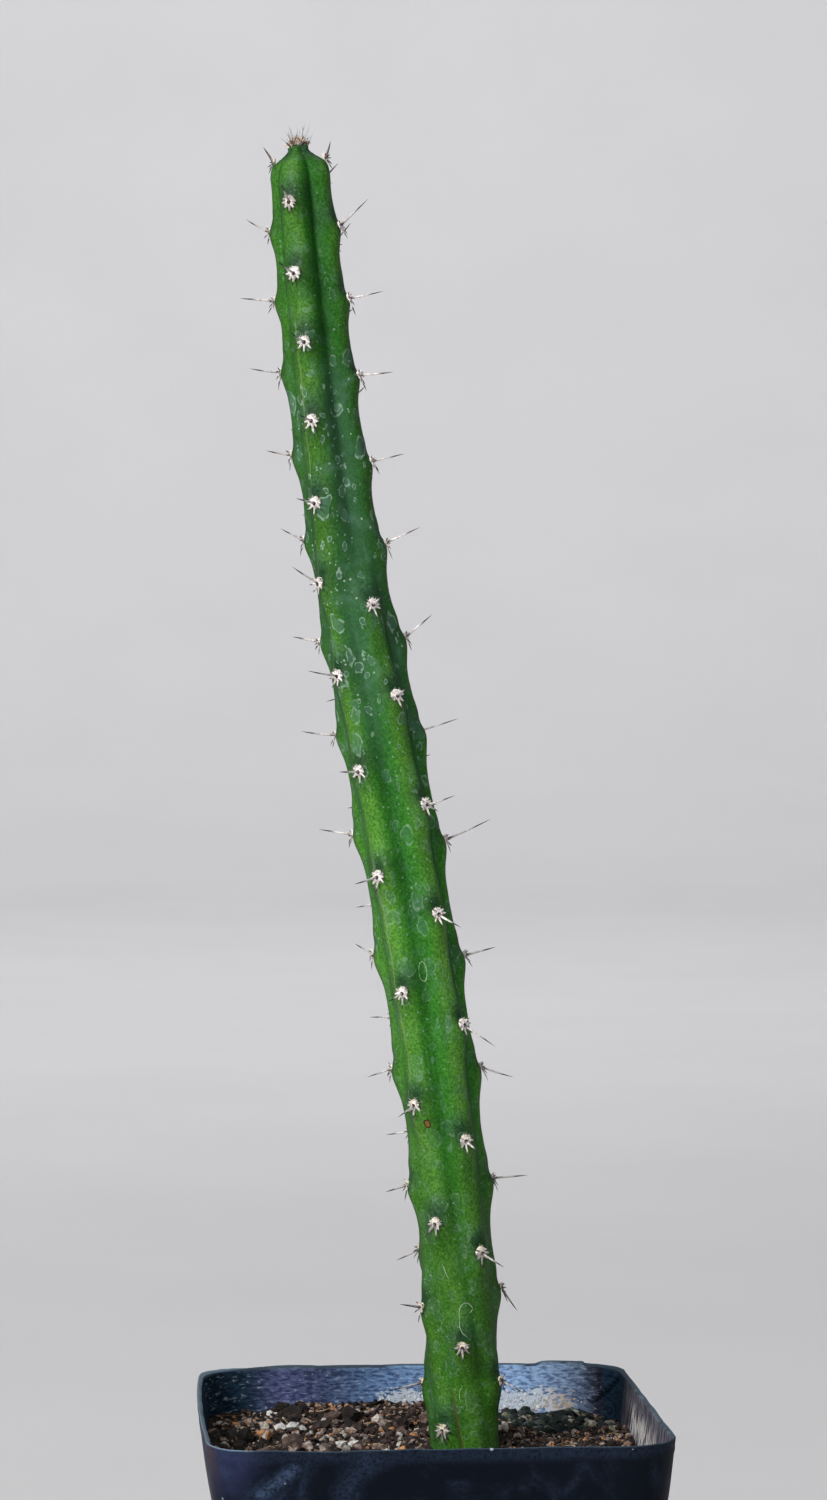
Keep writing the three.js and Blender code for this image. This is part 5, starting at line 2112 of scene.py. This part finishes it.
@dataclass
class PottingMix:
    """Bark, peat crumbs, grit, fibres and moss lumps that fill the pot."""

    side_heights: Floats = (76.0, 66.0, 54.0, 30.0, 3.0)
    side_gap: float = 1.9
    top_half: float = field(init=False)
    edge_gap: float = 0.35
    bed_tone: float = 0.25
    grid: int = 170
    fibres: int = 330
    stem_clearance: float = 8.6
    finer_from: float = 4.0
    chips: Scatter = Scatter(
        "bark_chips", MixTint.BARK, 1150, 61, (0.8, 3.2), 1.8, (0.35, 0.85), 1.2, 0.10, (0.0, 0.95, 1.8),
        marks=((44.0, 6.7, 2.2, 1.0), (-36.0, 33.0, 1.8, 0.95), (-12.0, 33.0, 2.2, 0.9), (26, 43, 1.8, 0.9)),
        grain=1700.0,
    )
    crumbs: Scatter = Scatter(
        "peat_crumbs", MixTint.BARK, 8200, 62, (0.2, 0.9), tones=(0.0, 0.98, 2.0), grain=2300.0
    )
    stones: Scatter = Scatter(
        "grit", MixTint.GRIT, 330, 63, (0.25, 1.1), 2.4, tones=(0.1, 0.75, 1.0), rise=0.4, grain=1800.0,
        marks=(
            (-31.2, 23.7, 1.5, 0.95), (-28.7, 23.5, 1.9, 1.0), (-26.2, 23.4, 1.3, 0.8),
            (-18.4, 6.6, 1.4, 0.95), (-15.8, 5.8, 1.8, 0.9), (-13.6, 5.0, 1.2, 0.6),
            (-8.6, -2.0, 1.5, 0.9), (-4.6, -2.4, 1.5, 0.8), (-32.9, 39.3, 1.1, 1.0),
            (-31.5, 38.4, 0.7, 0.8), (-11.6, 28.2, 1.2, 0.95), (-8.4, 30.2, 1.7, 0.7),
            (-21.0, 30.5, 1.0, 0.7), (18.9, 25.6, 1.3, 0.55), (19.4, 20.4, 1.2, 0.7),
            (19.2, 15.4, 1.0, 0.5), (22.0, 28.0, 0.8, 0.6), (-34.5, 28.6, 1.5, 0.6),
        ),
    )
    moss: Scatter = Scatter(
        "moss_lumps", MixTint.MOSS, 560, 65, (0.4, 1.7), 1.6, (0.5, 0.9), 0.7, 0.2, (0.0, 1.0, 1.5),
        (18.0, 45.0, 20.0, 46.0), ((36.8, 25.5, 1.6, 0.9), (38.6, 26.5, 1.3, 0.9)), 2100.0, 35.0,
    )

    def __post_init__(self) -> None:
        """Works out the wall's inner half width at the top of the mix."""
        pot = Pot()
        self.top_half = float(pot.outer_half(SOIL_TOP)) - pot.wall - self.edge_gap

    def build(self) -> None:
        """Makes every piece of the mix."""
        dress(self.bed(), MixFinish(MixTint.PEAT).material(), Slot.POTTING_MIX, Node.MIX)
        flakes = [self.chip_shape(seed) for seed in range(5)]
        lumps = [self.lump_shape(seed, 1, 0.55) for seed in range(5)]
        mossy = [self.lump_shape(seed + 60, 2, 0.5) for seed in range(3)]
        kinds = {self.chips: flakes + lumps[:3], self.crumbs: lumps, self.stones: lumps, self.moss: mossy}
        for kind, shapes in kinds.items():
            finish = MixFinish(kind.tint, kind.name, kind.grain)
            dress(self.scattered(kind, shapes), finish.material(), Slot.POTTING_MIX)
        fibre = MixFinish(MixTint.FIBRE, "fibres", relief=0.0001)
        dress(self.root_fibres(), fibre.material(), Slot.POTTING_MIX)

    def lumps(self, x: Array, y: Array) -> Array:
        """The surface's height above the frame's level, with its crumbs and hollows."""
        swells = np.sin(x * 0.21 + 0.6) * np.cos(y * 0.17)
        ripples = 0.6 * np.sin(x * 0.37 - y * 0.31)
        level = np.column_stack([x, y, np.zeros_like(x)])
        heaped = 1.5 * smooth((y - 28) / 14) * smooth((x + 36) / 14) * smooth((16 - x) / 12)
        sunk = 1.4 * smooth((y - 18) / 10) * smooth((x - 16) / 6)
        crumbs = 0.75 * rough(level, 5.5, 3) + 0.35 * rough(level, 1.5, 2)
        return SOIL_UNEVEN * (swells + ripples - 0.4) + crumbs + heaped - sunk

    def top(self, x: float, y: float) -> float:
        """The height of the surface at a place."""
        return SOIL_TOP + float(self.lumps(np.array([x]), np.array([y]))[0])

    def bed(self) -> Piece:
        """The body of the mix: an uneven top, sides that follow the wall and a level bottom."""
        deselect_all()
        bpy.ops.mesh.primitive_grid_add(x_subdivisions=self.grid, y_subdivisions=self.grid, size=2)
        piece = named("mix_bed")
        start = points_of(piece)
        square = np.abs(start[:, :2]).max(axis=1)
        ways = unit(start[:, :2] + 1e-9)
        reach = self.outline_reach(np.arctan2(start[:, 1], start[:, 0]))
        flat = ways * (square * reach)[:, None]
        z = SOIL_TOP + self.lumps(flat[:, 0], flat[:, 1])
        move_points(piece, np.column_stack([flat, z]) * MM)
        sides = [(float(Pot().outer_half(z)) - self.side_gap, z) for z in self.side_heights]
        with editing(piece, "EDGE"):
            select_edges(piece, lambda edge: edge.is_boundary)
            extrude_rings((self.top_half, SOIL_TOP), sides, level_end=True)
            bpy.ops.mesh.edge_face_add()
        close_and_face_out(piece, 1e-7)
        store(piece, tone=self.bed_tone)
        shade(piece, 45)
        return piece

    def outline_reach(self, angles: Number) -> Array:
        """How far the mix reaches from the pot's middle at each angle."""
        turns = np.linspace(0, 1, 720, endpoint=False)
        ring = Pot().outline(turns, np.full(720, self.top_half), np.full(720, 0.5))
        ring_angles = np.arctan2(ring[:, 1], ring[:, 0])
        order = np.argsort(ring_angles)
        return np.interp(angles, ring_angles[order], np.hypot(*ring[order].T), period=2 * np.pi)

    def spots(self, count: int, size: float, area: Sequence[float], draw: SeededDraws) -> Iterator[Pair]:
        """Places on the surface, clear of the stem and the wall.

        Args:
            count: How many there are.
            size: The radius of what lies there.
            area: The lowest and highest X and Y.
            draw: The random draws.

        Yields:
            The X and Y of each place.
        """
        angles = np.linspace(-math.pi, math.pi, 721)
        reaches = self.outline_reach(angles)
        found = 0
        while found < count:
            x = draw.between(*area[:2])
            y = draw.between(*area[2:])
            if math.hypot(x, y) > np.interp(math.atan2(y, x), angles, reaches) - size:
                continue
            if math.hypot(x - STEM_FOOT[0], y - STEM_FOOT[1]) < self.stem_clearance + size * 0.6:
                continue
            found += 1
            yield x, y

    @staticmethod
    def lump_shape(seed: int, splits: int, unevenness: float) -> Shape:
        """An uneven lump, one unit in radius.

        Args:
            seed: Where its noise is read.
            splits: How finely it is split: 1 has 20 faces and 2 has 80.
            unevenness: The height of its bumps.

        Returns:
            The shape.
        """
        deselect_all()
        bpy.ops.mesh.primitive_ico_sphere_add(subdivisions=splits, radius=1)
        made = named("lump")
        points = points_of(made)
        bumps = 1 + unevenness * rough(points + seed * 7.3, 0.9, 2)
        move_points(made, points * bumps[:, None])
        return Shape.taken_from(made)

    @staticmethod
    def chip_shape(seed: int) -> Shape:
        """A flat, splintered chip of bark, about one unit long."""
        deselect_all()
        bpy.ops.mesh.primitive_cube_add(size=1)
        made = named("chip")
        with editing(made, "FACE"):
            bpy.ops.mesh.select_all(action="SELECT")
            bpy.ops.transform.resize(value=(1.0, 0.56, 0.24), center_override=(0, 0, 0))
            bpy.ops.mesh.subdivide(number_cuts=1)
            slant = 0.35 if seed % 2 else -0.3
            bpy.ops.mesh.select_all(action="SELECT")
            bpy.ops.mesh.bisect(
                plane_co=(0.38, 0, 0), plane_no=(1, slant, 0.2), clear_outer=True, use_fill=True
            )
        points = points_of(made)
        offset = seed * 5.7
        shift = [rough(points + offset + axis * 3.1, 0.55, 2) for axis in range(3)]
        move_points(made, points + np.column_stack(shift) * np.array([0.16, 0.12, 0.07]))
        return Shape.taken_from(made)

    def scattered(self, kind: Scatter, shapes: list[Shape]) -> Piece:
        """Loose pieces of one kind, finer on the right side of the stem than on the left."""
        draw = SeededDraws(kind.seed)
        heap = Heap()

        def lay(x: float, y: float, size: float, tone: float) -> None:
            """Lays one piece down."""
            shape = shapes[int(draw() * len(shapes))]
            stretch = size * np.array([1.0, draw.between(0.6, 1.1), draw.between(*kind.flat)])
            lean = UP + draw.level_way() * draw() * kind.lean
            points = turned(shape.points * stretch, lean, draw.turn())
            heap.add(shape, np.array([x, y, self.top(x, y) + size * kind.rise]) + points, tone=tone)

        low, high, power = kind.tones
        for x, y in self.spots(kind.count, kind.sizes[1] * 0.45, kind.area, draw):
            size = mix(*kind.sizes, draw() ** kind.power)
            if kind.name == "bark_chips":
                size *= 1 - 0.45 * smooth((x - self.finer_from) / 16)
            lay(x, y, size, mix(low, high, draw() ** power))
        for mark in kind.marks:
            lay(*mark)
        return heap.piece(kind.name, kind.crispness)

    def root_fibres(self) -> Piece:
        """Fine roots, straws and curls that lie over the crumbs."""
        shape = needle_shape(4, 9, lambda z: 0.6 + 0.4 * np.sin(np.pi * np.clip(z + 0.15, 0, 1)))
        draw = SeededDraws(64)
        heap = Heap()
        for x, y in self.spots(self.fibres, 3.0, (-45, 45, -45, 45), draw):
            length = mix(1.5, 8.0, draw() ** 1.8)
            way, side = draw.level_way(), draw.level_way()
            curl = draw.spread(1.1)
            path = []
            for share in (0.0, 0.33, 0.67, 1.0):
                bend = curl * math.sin(math.pi * share)
                place = np.array([x, y, 0.0]) + (way * (share - 0.5) + side * bend) * length
                place[:2] = np.clip(place[:2], -44.5, 44.5)
                path.append(place + UP * (self.top(*place[:2]) + draw.between(0.2, 1.1)))
            heap.add(shape, threaded(shape, np.array(path), draw.between(0.04, 0.12)), tone=draw())
        return heap.piece("root_fibres", 60)


# The studio


@dataclass(frozen=True)
class SoftLight:
    """A square soft light. Places and size in metres, and the spread of its beam in degrees."""

    name: str
    place: Triple
    target: Triple
    size: float
    power: float
    colour: Triple
    spread: float = 180.0

    def build(self) -> None:
        """Adds the light, pointed at its target."""
        lamp = bpy.data.lights.new(self.name, "AREA")
        lamp.shape = "SQUARE"
        lamp.size = self.size
        lamp.energy = self.power
        lamp.color = self.colour
        lamp.spread = math.radians(self.spread)
        holder = bpy.data.objects.new(self.name, lamp)
        holder.location = self.place
        way = Vector(self.target) - Vector(self.place)
        holder.rotation_euler = way.to_track_quat("-Z", "Y").to_euler()
        holder.visible_camera = False
        bpy.context.scene.collection.objects.link(holder)


@dataclass
class Studio:
    """The pale floor that curves up behind, the soft lights and the camera. Sizes in metres."""

    camera_distance: float = 0.919
    camera_height: float = 0.1747
    camera_aside: float = -0.0025
    camera_down: float = 1.84
    lens: float = 100.0
    sensor: float = 36.0
    floor_radius: float = 2.9
    curve_radius: float = 1.5
    curve_steps: int = 12
    wall_top: float = 4.6
    floor_sides: int = 96
    floor_colour: Colour = rgb(0.59, 0.588, 0.605)
    world_colour: Colour = rgb(0.90, 0.95, 1.0)
    world_strength: float = 0.16
    lights: tuple[SoftLight, ...] = (
        SoftLight("key", (-1.8, -1.6, 1.75), (0.0, 0.0, 0.2), 1.0, 96.0, (1.0, 0.985, 0.95)),
        SoftLight("fill", (0.9, -2.7, 1.5), (0.0, 0.0, 0.2), 1.2, 14.0, (1.0, 1.0, 1.0)),
        SoftLight("far_floor", (0.0, 0.9, 2.0), (0.0, 0.9, 0.0), 1.2, 4.0, (1.0, 1.0, 1.0), 100.0),
        SoftLight("backdrop", (0.0, 1.6, 2.6), (0.0, 4.4, 0.9), 2.0, 50.0, (1.0, 1.0, 1.0), 150.0),
    )

    def build(self) -> None:
        """Makes the camera, the floor and the lights."""
        self.camera()
        self.floor()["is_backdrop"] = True
        for light in self.lights:
            light.build()
        self.world()
        bpy.context.scene.view_settings.view_transform = "Standard"

    def camera(self) -> None:
        """The camera at the photograph's viewing angle."""
        turn = math.radians(VIEW_TURN)
        forward = Vector((math.sin(turn), math.cos(turn), 0))
        right = Vector((math.cos(turn), -math.sin(turn), 0))
        rim = Vector((0, 0, Pot().height * MM))
        lens = bpy.data.cameras.new("camera")
        lens.lens = self.lens
        lens.sensor_width = self.sensor
        lens.clip_start = 0.05
        lens.clip_end = 50
        holder = bpy.data.objects.new("camera", lens)
        holder.location = rim - forward * self.camera_distance + right * self.camera_aside
        holder.location.z += self.camera_height
        down = math.radians(self.camera_down)
        look = forward * math.cos(down) - Vector((0, 0, math.sin(down)))
        holder.rotation_euler = look.to_track_quat("-Z", "Y").to_euler()
        bpy.context.scene.collection.objects.link(holder)
        bpy.context.scene.camera = holder

    def floor(self) -> Piece:
        """A round pale floor whose edge curves up into a wall."""
        deselect_all()
        bpy.ops.mesh.primitive_circle_add(
            vertices=self.floor_sides, radius=self.floor_radius, fill_type="NGON"
        )
        piece = named("floor")
        arc = [math.pi / 2 * (i + 1) / self.curve_steps for i in range(self.curve_steps)]
        rings = [
            (self.floor_radius + self.curve_radius * math.sin(a), self.curve_radius * (1 - math.cos(a)))
            for a in arc
        ]
        rings.append((self.floor_radius + self.curve_radius, self.wall_top))
        with editing(piece, "EDGE"):
            select_edges(piece, lambda edge: True)
            extrude_rings((self.floor_radius, 0.0), rings, scale=1.0)
        shade(piece, 60)
        material, shader, surface = new_material("studio_floor")
        cloth = shader.noise(shader.place(), 6.0, 3.0)
        tints = [(0.3, rgb(0.97, 0.97, 0.97)), (0.7, rgb(1.0, 1.0, 1.0))]
        colour = shader.mix(1.0, self.floor_colour, shader.ramp(cloth, tints), Blend.MULTIPLY)
        shader.feed(surface, {"Base Color": colour, "Roughness": 0.9, "Specular IOR Level": 0.1})
        piece.data.materials.append(material)
        return piece

    def world(self) -> None:
        """Soft light from all round."""
        world = bpy.data.worlds.new("soft_sky")
        world.use_nodes = True
        background = world.node_tree.nodes["Background"]
        background.inputs["Color"].default_value = self.world_colour
        background.inputs["Strength"].default_value = self.world_strength
        bpy.context.scene.world = world


def write_size() -> None:
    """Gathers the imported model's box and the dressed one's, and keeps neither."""
    boxes = {"cad": CAD_BOX, "visual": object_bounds()}
    {name: [list(corner) for corner in box] for name, box in boxes.items()}


def main() -> None:
    """Builds the studio, the stem, the potting mix and the pot."""
    logging.basicConfig(level=logging.INFO, format="%(name)s %(message)s")
    Studio().build()
    Stem().build()
    PottingMix().build()
    Pot().build()
    write_size()


if __name__ == "__main__":
    main()
